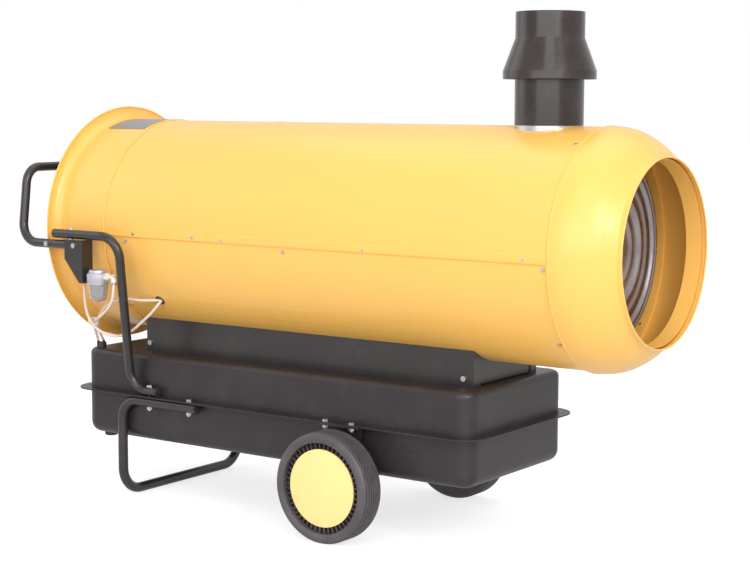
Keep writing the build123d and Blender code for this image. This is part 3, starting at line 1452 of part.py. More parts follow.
with BuildPart() as pilot_lamp:
    with Locations(on_face("lamp")):
        Cylinder(lamp_radius, 2 * box_wall)
        Cylinder(lamp_radius + lamp_lip, lamp_lip, align=(Align.CENTER, Align.CENTER, Align.MIN))
        Sphere(lamp_radius)
export_node(pilot_lamp, "pilot_lamp")

with BuildPart() as socket_lid:
    with Locations(on_face("socket") * Location((0, 0, running_gap))):
        Box(lid_width, lid_height, lid_thickness, align=(Align.CENTER, Align.CENTER, Align.MIN))
        with Locations((0, -lid_hinge_rise, hinge_radius)):
            with Locations(Location((0, 0, 0), (0, 90, 0))):
                Cylinder(hinge_radius - running_gap, lid_width / 2)
            Box(lid_width / 2, 3 * hinge_radius, hinge_radius, align=(Align.CENTER, Align.MIN, Align.CENTER))
export_node(socket_lid, "socket_lid")
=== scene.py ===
import math
import json

import bpy
import bmesh
from mathutils import Matrix, Vector


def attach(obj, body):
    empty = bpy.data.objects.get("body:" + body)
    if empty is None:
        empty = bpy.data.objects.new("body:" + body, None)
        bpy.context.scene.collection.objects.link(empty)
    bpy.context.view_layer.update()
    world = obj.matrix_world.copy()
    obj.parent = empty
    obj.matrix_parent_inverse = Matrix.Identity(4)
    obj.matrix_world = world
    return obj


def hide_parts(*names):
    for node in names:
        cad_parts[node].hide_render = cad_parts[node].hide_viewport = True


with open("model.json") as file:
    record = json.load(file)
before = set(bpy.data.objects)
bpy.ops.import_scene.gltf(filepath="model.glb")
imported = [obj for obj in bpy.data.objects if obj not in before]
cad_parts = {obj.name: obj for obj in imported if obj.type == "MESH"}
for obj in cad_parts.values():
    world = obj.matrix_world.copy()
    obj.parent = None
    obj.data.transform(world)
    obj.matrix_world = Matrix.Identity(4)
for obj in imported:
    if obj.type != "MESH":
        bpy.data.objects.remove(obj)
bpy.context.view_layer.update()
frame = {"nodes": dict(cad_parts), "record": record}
nodes = frame["nodes"]
scene = bpy.context.scene
print("frame loaded", len(nodes), "nodes")

# the casing's own measures, in metres; setback counts back from the outlet rim
casing = {
    "rimX": 0.8065,
    "axisZ": 0.663,
    "radius": 0.263,
}


def place(setback, y, drop):
    # millimetres back from the rim, out to the side and below the axis, to metres in the frame
    return Vector((casing["rimX"] - setback / 1000, y / 1000, casing["axisZ"] - drop / 1000))


# camera, at the photograph's viewing angle; angles in degrees
camera = {
    "spot": (2.3654, -3.2567, 0.9893),
    "heading": 35.3,
    "pitch": 6.2,
    "roll": 0.2,
    "focalPixels": 1709.2,
    "imageWidth": 750,
    "sensor": 36.0,
    "farClip": 60.0,
}


def makeCamera():
    heading, pitch, roll = (math.radians(camera[key]) for key in ("heading", "pitch", "roll"))
    level = math.cos(pitch)
    ahead = Vector((-math.sin(heading) * level, math.cos(heading) * level, -math.sin(pitch)))
    side = Vector((math.cos(heading), math.sin(heading), 0))
    up = side.cross(ahead)
    turnedSide = side * math.cos(roll) + up * math.sin(roll)
    turnedUp = up * math.cos(roll) - side * math.sin(roll)
    data = bpy.data.cameras.new("photoCamera")
    data.sensor_width = camera["sensor"]
    data.sensor_fit = "HORIZONTAL"
    data.lens = camera["focalPixels"] / camera["imageWidth"] * camera["sensor"]
    data.clip_end = camera["farClip"]
    obj = bpy.data.objects.new("photoCamera", data)
    scene.collection.objects.link(obj)
    turn = Matrix((turnedSide, turnedUp, -ahead)).transposed().to_4x4()
    obj.matrix_world = Matrix.Translation(camera["spot"]) @ turn
    scene.camera = obj


makeCamera()
print("camera set")


# tools for the shader node groups
def newGroup(name, inputs, outputs):
    # a group with named sockets, as the tree, what it is given and what it puts out
    tree = bpy.data.node_groups.new(name, "ShaderNodeTree")
    for label, kind, value in inputs:
        socket = tree.interface.new_socket(name=label, in_out="INPUT", socket_type=kind)
        socket.default_value = value
    for label, kind in outputs:
        tree.interface.new_socket(name=label, in_out="OUTPUT", socket_type=kind)
    return tree, tree.nodes.new("NodeGroupInput").outputs, tree.nodes.new("NodeGroupOutput").inputs


def setSocket(tree, socket, value):
    # a plain value is written on the socket, and another node's output is linked to it
    if isinstance(value, (int, float, tuple)):
        socket.default_value = value
    else:
        tree.links.new(value, socket)


def mathNode(tree, operation, first, second):
    node = tree.nodes.new("ShaderNodeMath")
    node.operation = operation
    setSocket(tree, node.inputs[0], first)
    setSocket(tree, node.inputs[1], second)
    return node.outputs[0]


def noiseNode(tree, vector, scale, detail, roughness):
    node = tree.nodes.new("ShaderNodeTexNoise")
    node.inputs["Detail"].default_value = detail
    node.inputs["Roughness"].default_value = roughness
    tree.links.new(vector, node.inputs["Vector"])
    setSocket(tree, node.inputs["Scale"], scale)
    return node.outputs["Fac"]


def rampNode(tree, value, low, high, toLow=0.0, toHigh=1.0):
    node = tree.nodes.new("ShaderNodeMapRange")
    node.inputs["From Min"].default_value = low
    node.inputs["From Max"].default_value = high
    node.inputs["To Min"].default_value = toLow
    node.inputs["To Max"].default_value = toHigh
    tree.links.new(value, node.inputs["Value"])
    return node.outputs["Result"]


def mixColour(tree, factor, first, second):
    node = tree.nodes.new("ShaderNodeMix")
    node.data_type = "RGBA"
    tree.links.new(factor, node.inputs["Factor"])
    setSocket(tree, node.inputs[6], first)  # the colour sockets, A and B
    setSocket(tree, node.inputs[7], second)
    return node.outputs[2]


def patchMask(tree, vector, patches, amount):
    # cloudy patches of a noise between two levels, as a mask from 0 to amount
    noise = noiseNode(tree, vector, patches["scale"], patches["detail"], patches["roughness"])
    shown = rampNode(tree, noise, patches["low"], patches["high"])
    return mathNode(tree, "MULTIPLY", shown, amount)


def stretchVector(tree, given):
    node = tree.nodes.new("ShaderNodeVectorMath")
    node.operation = "MULTIPLY"
    tree.links.new(given["Vector"], node.inputs[0])
    tree.links.new(given["Stretch"], node.inputs[1])
    return node.outputs[0]


def writeSurface(tree, out, colour, roughness, height):
    tree.links.new(colour, out["Colour"])
    tree.links.new(roughness, out["Roughness"])
    tree.links.new(height, out["Height"])


surfaceOutputs = [
    ("Colour", "NodeSocketColor"),
    ("Roughness", "NodeSocketFloat"),
    ("Height", "NodeSocketFloat"),
]

# powder coat or gloss paint: faint mottling, dust in patches, orange peel
paintCoat = {
    "mottle": {"scale": 3.5, "detail": 4.0, "roughness": 0.6},
    "dust": {"scale": 11.0, "detail": 6.0, "roughness": 0.65, "low": 0.45, "high": 0.75},
    "peel": {"detail": 2.0, "roughness": 0.4},
    "middle": 0.5,
    "dustRoughness": 0.5,
}


def makeCoatGroup():
    tree, given, out = newGroup(
        "paintCoat",
        [
            ("Vector", "NodeSocketVector", (0, 0, 0)),
            ("Colour", "NodeSocketColor", (1, 1, 1, 1)),
            ("Dust Colour", "NodeSocketColor", (0.6, 0.55, 0.45, 1)),
            ("Mottle", "NodeSocketFloat", 0.04),
            ("Dust", "NodeSocketFloat", 0.1),
            ("Roughness", "NodeSocketFloat", 0.3),
            ("Peel Scale", "NodeSocketFloat", 220.0),
        ],
        surfaceOutputs,
    )
    vector = given["Vector"]
    mottle = noiseNode(tree, vector, **paintCoat["mottle"])
    peel = noiseNode(tree, vector, given["Peel Scale"], **paintCoat["peel"])
    offset = mathNode(tree, "SUBTRACT", mottle, paintCoat["middle"])
    shade = mathNode(tree, "MULTIPLY", offset, given["Mottle"])
    brightness = tree.nodes.new("ShaderNodeHueSaturation")
    tree.links.new(given["Colour"], brightness.inputs["Color"])
    tree.links.new(mathNode(tree, "ADD", shade, 1.0), brightness.inputs["Value"])
    dustMask = patchMask(tree, vector, paintCoat["dust"], given["Dust"])
    dusted = mixColour(tree, dustMask, brightness.outputs["Color"], given["Dust Colour"])
    added = mathNode(tree, "MULTIPLY", dustMask, paintCoat["dustRoughness"])
    rougher = mathNode(tree, "ADD", given["Roughness"], added)
    writeSurface(tree, out, dusted, rougher, peel)
    return tree


# thin scuffs that lie mostly one way
scuffLines = {
    "lines": {"scale": 1.0, "detail": 5.0, "roughness": 0.7},
    "thin": (0.62, 0.72),
    "where": {"scale": 6.0, "detail": 3.0, "roughness": 0.6, "low": 0.5, "high": 0.7},
}


def makeScratchGroup():
    tree, given, out = newGroup(
        "scuffLines",
        [
            ("Vector", "NodeSocketVector", (0, 0, 0)),
            ("Stretch", "NodeSocketVector", (4, 60, 60)),
            ("Amount", "NodeSocketFloat", 0.3),
        ],
        [("Mask", "NodeSocketFloat")],
    )
    lines = noiseNode(tree, stretchVector(tree, given), **scuffLines["lines"])
    thin = rampNode(tree, lines, *scuffLines["thin"])
    spread = patchMask(tree, given["Vector"], scuffLines["where"], given["Amount"])
    tree.links.new(mathNode(tree, "MULTIPLY", thin, spread), out["Mask"])
    return tree


# drawn or turned metal: long fine grain, stained in patches
brushedGrain = {
    "grain": {"scale": 1.0, "detail": 3.0, "roughness": 0.6},
    "grainLevels": (0.3, 0.7, -0.08, 0.12),
    "stain": {"scale": 14.0, "detail": 5.0, "roughness": 0.6, "low": 0.4, "high": 0.8},
}


def makeBrushGroup():
    tree, given, out = newGroup(
        "brushedGrain",
        [
            ("Vector", "NodeSocketVector", (0, 0, 0)),
            ("Stretch", "NodeSocketVector", (900, 900, 12)),
            ("Colour", "NodeSocketColor", (0.6, 0.6, 0.6, 1)),
            ("Stain Colour", "NodeSocketColor", (0.3, 0.25, 0.2, 1)),
            ("Stain", "NodeSocketFloat", 0.2),
            ("Roughness", "NodeSocketFloat", 0.3),
        ],
        surfaceOutputs,
    )
    grain = noiseNode(tree, stretchVector(tree, given), **brushedGrain["grain"])
    stainMask = patchMask(tree, given["Vector"], brushedGrain["stain"], given["Stain"])
    stained = mixColour(tree, stainMask, given["Colour"], given["Stain Colour"])
    added = rampNode(tree, grain, *brushedGrain["grainLevels"])
    writeSurface(tree, out, stained, mathNode(tree, "ADD", given["Roughness"], added), grain)
    return tree


# moulded plastic or rubber: fine pebble, dusty in patches
mouldedGrain = {
    "dust": {"scale": 18.0, "detail": 5.0, "roughness": 0.65, "low": 0.42, "high": 0.72},
    "dustRoughness": 0.4,
}


def makeMouldGroup():
    tree, given, out = newGroup(
        "mouldedGrain",
        [
            ("Vector", "NodeSocketVector", (0, 0, 0)),
            ("Colour", "NodeSocketColor", (0.05, 0.05, 0.05, 1)),
            ("Dust Colour", "NodeSocketColor", (0.3, 0.28, 0.25, 1)),
            ("Dust", "NodeSocketFloat", 0.2),
            ("Pebble Scale", "NodeSocketFloat", 500.0),
            ("Roughness", "NodeSocketFloat", 0.55),
        ],
        surfaceOutputs,
    )
    pebble = tree.nodes.new("ShaderNodeTexVoronoi")
    tree.links.new(given["Vector"], pebble.inputs["Vector"])
    tree.links.new(given["Pebble Scale"], pebble.inputs["Scale"])
    dustMask = patchMask(tree, given["Vector"], mouldedGrain["dust"], given["Dust"])
    dusted = mixColour(tree, dustMask, given["Colour"], given["Dust Colour"])
    added = mathNode(tree, "MULTIPLY", dustMask, mouldedGrain["dustRoughness"])
    rougher = mathNode(tree, "ADD", given["Roughness"], added)
    writeSurface(tree, out, dusted, rougher, pebble.outputs["Distance"])
    return tree


coatGroup = makeCoatGroup()
scratchGroup = makeScratchGroup()
brushGroup = makeBrushGroup()
mouldGroup = makeMouldGroup()
print("node groups built")

# depth of each family's bumps, in metres
bumpDepth = {"paint": 0.0004, "metal": 0.0002, "moulded": 0.0003}


def startMaterial(name):
    material = bpy.data.materials.new(name)
    material.use_nodes = True
    tree = material.node_tree
    shader = tree.nodes["Principled BSDF"]
    coordinates = tree.nodes.new("ShaderNodeTexCoord").outputs["Object"]
    return material, tree, shader, coordinates


def addGroup(tree, group, coordinates, settings):
    node = tree.nodes.new("ShaderNodeGroup")
    node.node_tree = group
    for key, value in settings.items():
        node.inputs[key].default_value = value
    tree.links.new(coordinates, node.inputs["Vector"])
    return node


def addBump(tree, height, shader, strength, distance):
    bump = tree.nodes.new("ShaderNodeBump")
    bump.inputs["Strength"].default_value = strength
    bump.inputs["Distance"].default_value = distance
    tree.links.new(height, bump.inputs["Height"])
    tree.links.new(bump.outputs["Normal"], shader.inputs["Normal"])


def paintMaterial(name, look):
    material, tree, shader, coordinates = startMaterial(name)
    coat = addGroup(tree, coatGroup, coordinates, look["coat"])
    scuffs = addGroup(tree, scratchGroup, coordinates, look["scuffs"])
    colour = mixColour(tree, scuffs.outputs["Mask"], coat.outputs["Colour"], look["scuffColour"])
    tree.links.new(colour, shader.inputs["Base Color"])
    tree.links.new(coat.outputs["Roughness"], shader.inputs["Roughness"])
    shader.inputs["Coat Weight"].default_value = look["gloss"]
    shader.inputs["Coat Roughness"].default_value = look["glossRoughness"]
    shader.inputs["Specular IOR Level"].default_value = look["specular"]
    addBump(tree, coat.outputs["Height"], shader, look["bump"], bumpDepth["paint"])
    return material


def metalMaterial(name, look):
    material, tree, shader, coordinates = startMaterial(name)
    grain = addGroup(tree, brushGroup, coordinates, look["grain"])
    tree.links.new(grain.outputs["Colour"], shader.inputs["Base Color"])
    tree.links.new(grain.outputs["Roughness"], shader.inputs["Roughness"])
    shader.inputs["Metallic"].default_value = look["metallic"]
    addBump(tree, grain.outputs["Height"], shader, look["bump"], bumpDepth["metal"])
    return material


def mouldedMaterial(name, look):
    material, tree, shader, coordinates = startMaterial(name)
    grain = addGroup(tree, mouldGroup, coordinates, look["grain"])
    tree.links.new(grain.outputs["Colour"], shader.inputs["Base Color"])
    tree.links.new(grain.outputs["Roughness"], shader.inputs["Roughness"])
    addBump(tree, grain.outputs["Height"], shader, look["bump"], bumpDepth["moulded"])
    for socket, value in look.get("sockets", {}).items():
        shader.inputs[socket].default_value = value
    return material


paintLooks = {
    "yellowPaint": {
        "coat": {
            "Colour": (0.97, 0.54, 0.118, 1), "Dust Colour": (0.86, 0.60, 0.26, 1),
            "Mottle": 0.04, "Dust": 0.05, "Roughness": 0.33, "Peel Scale": 260.0,
        },
        "scuffs": {"Stretch": (5, 70, 70), "Amount": 0.12},
        "scuffColour": (0.62, 0.34, 0.10, 1),
        "gloss": 0.22, "glossRoughness": 0.24, "bump": 0.12, "specular": 0.42,
    },
    "blackPaint": {
        "coat": {
            "Colour": (0.024, 0.019, 0.020, 1), "Dust Colour": (0.13, 0.11, 0.10, 1),
            "Mottle": 0.5, "Dust": 0.12, "Roughness": 0.30, "Peel Scale": 420.0,
        },
        "scuffs": {"Stretch": (6, 80, 80), "Amount": 0.25},
        "scuffColour": (0.18, 0.17, 0.17, 1),
        "gloss": 0.25, "glossRoughness": 0.22, "bump": 0.18, "specular": 0.5,
    },
    "tankPaint": {
        "coat": {
            "Colour": (0.025, 0.019, 0.022, 1), "Dust Colour": (0.11, 0.09, 0.095, 1),
            "Mottle": 0.5, "Dust": 0.16, "Roughness": 0.36, "Peel Scale": 300.0,
        },
        "scuffs": {"Stretch": (4, 50, 90), "Amount": 0.3},
        "scuffColour": (0.15, 0.14, 0.14, 1),
        "gloss": 0.08, "glossRoughness": 0.3, "bump": 0.25, "specular": 0.42,
    },
    "flueBlack": {
        "coat": {
            "Colour": (0.020, 0.013, 0.011, 1), "Dust Colour": (0.13, 0.12, 0.12, 1),
            "Mottle": 0.6, "Dust": 0.18, "Roughness": 0.27, "Peel Scale": 500.0,
        },
        "scuffs": {"Stretch": (120, 120, 6), "Amount": 0.35},
        "scuffColour": (0.22, 0.23, 0.26, 1),
        "gloss": 0.36, "glossRoughness": 0.14, "bump": 0.1, "specular": 0.4,
    },
}
metalLooks = {
    "brightSteel": {
        "grain": {
            "Stretch": (700, 700, 14), "Colour": (0.66, 0.64, 0.62, 1),
            "Stain Colour": (0.40, 0.33, 0.27, 1), "Stain": 0.25, "Roughness": 0.26,
        },
        "metallic": 1.0, "bump": 0.2,
    },
    "zincPlate": {
        "grain": {
            "Stretch": (300, 300, 300), "Colour": (0.62, 0.60, 0.58, 1),
            "Stain Colour": (0.42, 0.36, 0.29, 1), "Stain": 0.3, "Roughness": 0.36,
        },
        "metallic": 1.0, "bump": 0.1,
    },
    "hotSteel": {
        "grain": {
            "Stretch": (30, 60, 60), "Colour": (0.34, 0.31, 0.32, 1),
            "Stain Colour": (0.20, 0.13, 0.12, 1), "Stain": 0.5, "Roughness": 0.34,
        },
        "metallic": 1.0, "bump": 0.2,
    },
    "castAlloy": {
        "grain": {
            "Stretch": (420, 420, 420), "Colour": (0.72, 0.70, 0.69, 1),
            "Stain Colour": (0.48, 0.45, 0.43, 1), "Stain": 0.3, "Roughness": 0.4,
        },
        "metallic": 0.75, "bump": 0.5,
    },
    "filterCast": {
        "grain": {
            "Stretch": (260, 260, 260), "Colour": (0.56, 0.55, 0.59, 1),
            "Stain Colour": (0.40, 0.38, 0.41, 1), "Stain": 0.3, "Roughness": 0.36,
        },
        "metallic": 0.6, "bump": 0.3,
    },
    "stampedAlloy": {
        "grain": {
            "Stretch": (60, 500, 500), "Colour": (0.60, 0.60, 0.60, 1),
            "Stain Colour": (0.35, 0.33, 0.30, 1), "Stain": 0.3, "Roughness": 0.35,
        },
        "metallic": 1.0, "bump": 0.2,
    },
    "barePlate": {
        "grain": {
            "Stretch": (500, 16, 500), "Colour": (0.33, 0.34, 0.36, 1),
            "Stain Colour": (0.2, 0.2, 0.21, 1), "Stain": 0.3, "Roughness": 0.34,
        },
        "metallic": 0.6, "bump": 0.15,
    },
}
mouldedLooks = {
    "blackPlastic": {
        "grain": {
            "Colour": (0.028, 0.026, 0.028, 1), "Dust Colour": (0.13, 0.12, 0.11, 1),
            "Dust": 0.3, "Pebble Scale": 700.0, "Roughness": 0.45,
        },
        "bump": 0.12,
    },
    "yellowPlastic": {
        "grain": {
            "Colour": (0.97, 0.76, 0.30, 1), "Dust Colour": (0.86, 0.70, 0.40, 1), "Dust": 0.12,
            "Pebble Scale": 600.0, "Roughness": 0.42,
        },
        "bump": 0.05,
    },
    "ribPlastic": {
        "grain": {
            "Colour": (0.055, 0.042, 0.042, 1), "Dust Colour": (0.20, 0.17, 0.16, 1),
            "Dust": 0.4, "Pebble Scale": 500.0, "Roughness": 0.4,
        },
        "bump": 0.05,
    },
    "filterPaper": {
        "grain": {
            "Colour": (0.58, 0.56, 0.56, 1), "Dust Colour": (0.44, 0.41, 0.38, 1), "Dust": 0.3,
            "Pebble Scale": 800.0, "Roughness": 0.8,
        },
        "bump": 0.1,
    },
    "portPlastic": {
        "grain": {
            "Colour": (0.80, 0.74, 0.66, 1), "Dust Colour": (0.62, 0.52, 0.42, 1), "Dust": 0.3,
            "Pebble Scale": 300.0, "Roughness": 0.35,
        },
        "bump": 0.04,
    },
    "tyreRubber": {
        "grain": {
            "Colour": (0.072, 0.065, 0.072, 1), "Dust Colour": (0.19, 0.17, 0.17, 1),
            "Dust": 0.35, "Pebble Scale": 420.0, "Roughness": 0.42,
        },
        "bump": 0.2,
    },
    "paleHose": {
        "grain": {
            "Colour": (0.83, 0.68, 0.58, 1), "Dust Colour": (0.81, 0.60, 0.49, 1), "Dust": 0.35,
            "Pebble Scale": 300.0, "Roughness": 0.34,
        },
        "bump": 0.03,
        "sockets": {"Subsurface Weight": 0.25, "Subsurface Scale": 0.004, "Coat Weight": 0.5},
    },
    "darkRubber": {
        "grain": {
            "Colour": (0.06, 0.035, 0.025, 1), "Dust Colour": (0.2, 0.14, 0.1, 1), "Dust": 0.3,
            "Pebble Scale": 400.0, "Roughness": 0.6,
        },
        "bump": 0.15,
    },
    "motorPaint": {
        "grain": {
            "Colour": (0.10, 0.11, 0.12, 1), "Dust Colour": (0.28, 0.26, 0.23, 1), "Dust": 0.35,
            "Pebble Scale": 260.0, "Roughness": 0.4,
        },
        "bump": 0.3,
    },
    "redPlastic": {
        "grain": {
            "Colour": (0.55, 0.03, 0.025, 1), "Dust Colour": (0.45, 0.15, 0.12, 1),
            "Dust": 0.15, "Pebble Scale": 700.0, "Roughness": 0.3,
        },
        "bump": 0.05,
    },
    "lampPlastic": {
        "grain": {
            "Colour": (0.85, 0.38, 0.06, 1), "Dust Colour": (0.6, 0.35, 0.15, 1), "Dust": 0.1,
            "Pebble Scale": 400.0, "Roughness": 0.15,
        },
        "bump": 0.02,
        "sockets": {"Transmission Weight": 0.4},
    },
    "clearPlastic": {
        "grain": {
            "Colour": (0.86, 0.84, 0.80, 1), "Dust Colour": (0.70, 0.66, 0.60, 1), "Dust": 0.2,
            "Pebble Scale": 300.0, "Roughness": 0.3,
        },
        "bump": 0.03,
        "sockets": {"Subsurface Weight": 0.2, "Subsurface Scale": 0.002},
    },
    "clearBowl": {
        "grain": {
            "Colour": (0.80, 0.80, 0.82, 1), "Dust Colour": (0.66, 0.64, 0.63, 1), "Dust": 0.2,
            "Pebble Scale": 200.0, "Roughness": 0.1,
        },
        "bump": 0.02,
        "sockets": {"Transmission Weight": 0.88, "IOR": 1.3},
    },
}
materials = {}
for name, look in paintLooks.items():
    materials[name] = paintMaterial(name, look)
for name, look in metalLooks.items():
    materials[name] = metalMaterial(name, look)
for name, look in mouldedLooks.items():
    materials[name] = mouldedMaterial(name, look)
print("materials", len(materials))

# which finish each record slot takes
finishes = {
    "yellow_paint": "yellowPaint",
    "bare_plate": "barePlate",
    "bright_zinc": "zincPlate",
    "bright_steel": "brightSteel",
    "flue_black": "flueBlack",
    "tank_black": "tankPaint",
    "black_paint": "blackPaint",
    "black_plastic": "blackPlastic",
    "yellow_plastic": "yellowPlastic",
    "tyre_rubber": "tyreRubber",
    "fuel_hose": "paleHose",
    "clear_plastic": "clearPlastic",
    "dark_rubber": "darkRubber",
    "cast_alloy": "castAlloy",
    "clear_bowl": "clearBowl",
    "motor_paint": "motorPaint",
    "fan_alloy": "stampedAlloy",
    "burner_alloy": "castAlloy",
    "hot_steel": "hotSteel",
    "red_plastic": "redPlastic",
    "lamp_plastic": "lampPlastic",
}
for entry in frame["record"]["subparts"]:
    finish = materials[finishes[entry["material_slot"]]]
    slots = nodes[entry["node"]].material_slots
    for materialSlot in slots:
        materialSlot.material = finish
print("nodes painted")

# hoses: the same points as the solids, as (setback, out, drop) in millimetres
hoses = {
    "radius": 0.0035,
    "smoothness": {"around": 6, "along": 12},
    "tied": "hoseFilterBurner",
    "routes": {
        "hoseFilterBurner": {
            "node": "hose_filter_burner",
            "length": 0.314,
            "points": (
                (1401, -298, 122), (1401, -298, 158), (1404, -290, 199), (1397, -276, 234),
                (1376, -256, 256), (1345, -240, 262), (1313, -227, 248), (1287, -217, 222),
                (1261, -215, 202), (1249, -209, 185.5),
            ),
        },
        "hoseFilterTank": {
            "node": "hose_filter_tank",
            "length": 0.280,
            "points": (
                (1303, -298, 122), (1303, -298, 150), (1320, -294, 180), (1350, -290, 202),
                (1382, -278, 218), (1412, -257, 228), (1436, -232, 240), (1456, -206, 258),
                (1463.8, -189.7, 284.4),
            ),
        },
        "hoseBurnerTank": {
            "node": "hose_burner_tank",
            "length": 0.279,
            "points": (
                (1258.2, -209.2, 168.5), (1282, -223, 170), (1315, -238, 166), (1350, -247, 172),
                (1383, -248, 190), (1412, -238, 215), (1438, -218, 242), (1453, -194, 266),
                (1456, -179.5, 284.1),
            ),
        },
    },
}


def makeHose(name, route):
    curve = bpy.data.curves.new(name, "CURVE")
    curve.dimensions = "3D"
    curve.bevel_depth = hoses["radius"]
    curve.bevel_resolution = hoses["smoothness"]["around"]
    curve.resolution_u = hoses["smoothness"]["along"]
    curve.use_fill_caps = True
    spline = curve.splines.new("NURBS")
    spline.points.add(len(route["points"]) - 1)
    for point, spot in zip(spline.points, route["points"]):
        point.co = (*place(*spot), 1)
    spline.order_u = 3
    spline.use_endpoint_u = True
    curve.materials.append(materials["paleHose"])
    hose = bpy.data.objects.new(name, curve)
    scene.collection.objects.link(hose)
    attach(hose, "heater")
    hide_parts(route["node"])


for name, route in hoses["routes"].items():
    makeHose(name, route)
print("hoses laid")


# tools for the pieces that are modelled here; their sizes are in millimetres
along = Vector((1, 0, 0))
across = Vector((0, 1, 0))
upwards = Vector((0, 0, 1))
wholeTurn = 360.0
weldDistance = 0.000002


def addPiece(name, bm, body, finish, replaced=(), sharpAngle=32.0):
    bmesh.ops.remove_doubles(bm, verts=bm.verts, dist=weldDistance)
    bmesh.ops.recalc_face_normals(bm, faces=bm.faces)
    mesh = bpy.data.meshes.new(name)
    bm.to_mesh(mesh)
    bm.free()
    mesh.materials.append(materials[finish])
    for polygon in mesh.polygons:
        polygon.use_smooth = True
    mesh.set_sharp_from_angle(angle=math.radians(sharpAngle))
    piece = bpy.data.objects.new(name, mesh)
    scene.collection.objects.link(piece)
    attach(piece, body)
    if replaced:
        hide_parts(*replaced)


def spinProfile(bm, profile, centre, axis, outwards, steps, arc=wholeTurn):
    # a closed outline of (along, out) places turned about an axis, and capped if it stops short
    corners = [
        bm.verts.new(centre + axis * (run / 1000) + outwards * (out / 1000)) for run, out in profile
    ]
    edges = [bm.edges.new((corners[i - 1], corners[i])) for i in range(len(corners))]
    whole = arc == wholeTurn
    if not whole:
        bm.faces.new(corners)
    made = bmesh.ops.spin(
        bm, geom=corners + edges, cent=centre, axis=axis, dvec=(0, 0, 0), angle=math.radians(arc),
        steps=steps, use_merge=whole, use_duplicate=False,
    )
    if not whole:
        lastEdges = [item for item in made["geom_last"] if isinstance(item, bmesh.types.BMEdge)]
        bmesh.ops.contextual_create(bm, geom=lastEdges)


def extrudeOutline(bm, corners, shift):
    # a flat outline of places drawn out into a closed bar
    face = bm.faces.new([bm.verts.new(corner) for corner in corners])
    made = bmesh.ops.extrude_face_region(bm, geom=[face])
    moved = [item for item in made["geom"] if isinstance(item, bmesh.types.BMVert)]
    bmesh.ops.translate(bm, vec=shift, verts=moved)


def sweepRing(bm, spots, radius, flat, sides):
    # a round tube through a row of places, its rings square to the way they lead
    rings = []
    for index, spot in enumerate(spots):
        ahead = (spots[min(index + 1, len(spots) - 1)] - spots[max(index - 1, 0)]).normalized()
        turn = Matrix((flat, ahead.cross(flat), ahead)).transposed().to_4x4()
        made = bmesh.ops.create_circle(
            bm, cap_ends=index in (0, len(spots) - 1), segments=sides, radius=radius / 1000,
            matrix=Matrix.Translation(spot) @ turn,
        )
        rings.append(list({edge for vert in made["verts"] for edge in vert.link_edges}))
    for first, second in zip(rings, rings[1:]):
        bmesh.ops.bridge_loops(bm, edges=first + second)


def roundOutline(run, out, radius, count):
    turns = [2 * math.pi * i / count for i in range(count)]
    return [(run + radius * math.cos(turn), out + radius * math.sin(turn)) for turn in turns]


def addBox(bm, centre, axes, sizes, bevel):
    # a box with its sizes along three directions, its edges rounded by bevel
    made = bmesh.ops.create_cube(bm, size=1.0)
    turn = Matrix([axis.normalized() for axis in axes]).transposed().to_4x4()
    scale = Matrix.Diagonal((*(size / 1000 for size in sizes), 1))
    bmesh.ops.transform(bm, matrix=Matrix.Translation(centre) @ turn @ scale, verts=made["verts"])
    edges = list({edge for vert in made["verts"] for edge in vert.link_edges})
    bmesh.ops.bevel(
        bm, geom=edges, offset=bevel / 1000, offset_type="OFFSET", segments=2, profile=0.5,
        affect="EDGES", material=-1,
    )


def addRod(bm, start, end, radius, sides, tip=None):
    # a straight round rod between two places, its end radius set by tip
    run = end - start
    made = bmesh.ops.create_cone(
        bm, cap_ends=True, segments=sides, radius1=radius / 1000,
        radius2=(radius if tip is None else tip) / 1000, depth=run.length,
    )
    turn = run.to_track_quat("Z", "Y").to_matrix().to_4x4()
    middle = Matrix.Translation((start + end) / 2)
    bmesh.ops.transform(bm, matrix=middle @ turn, verts=made["verts"])


def onCasing(setback, angle, radius):
    # a place on a circle about the casing's axis; 0 degrees is +Y and 90 is up
    turn = math.radians(angle)
    out = Vector((0, math.cos(turn), math.sin(turn)))
    return place(setback, 0, 0) + out * (radius / 1000), out


# thin laps and hems of the casing's sheets; the cover's lap ends a drop below the axis
casingTrim = {
    "noseLap": {"setback": 136.4, "radius": 263.9, "bead": 1.9, "sides": 12},
    "inletLap": {"setback": 1367.5, "radius": 264.0, "bead": 2.3, "sides": 12},
    "flareStep": {"setback": 1500.0, "radius": 264.6, "bead": 1.1, "sides": 12},
    "coverLap": {"setback": 1033.2, "radius": 262.9, "bead": 1.0, "sides": 8, "drop": 12.0},
    "frontHem": {"from": 138.6, "to": 1031.5, "low": -12.0, "high": 9.0, "thickness": 2.3},
    "rearHem": {"from": 1034.6, "to": 1364.6, "low": -12.0, "high": -6.5, "thickness": 2.2},
    "hemRows": 6,
    "hemEdge": 0.45,
    "hemSink": 0.6,
    "steps": 192,
}


def makeLap(name):
    lap = casingTrim[name]
    bm = bmesh.new()
    bead = roundOutline(0, lap["radius"], lap["bead"], lap["sides"])
    if "drop" in lap:
        start = -math.degrees(math.asin(lap["drop"] / casing["radius"] / 1000))
        centre, out = onCasing(lap["setback"], start, 0)
        spinProfile(bm, bead, centre, along, out, casingTrim["steps"] // 2, 180 - 2 * start)
    else:
        centre, out = onCasing(lap["setback"], 90, 0)
        spinProfile(bm, bead, centre, along, out, casingTrim["steps"])
    addPiece(name, bm, "heater", "yellowPaint")


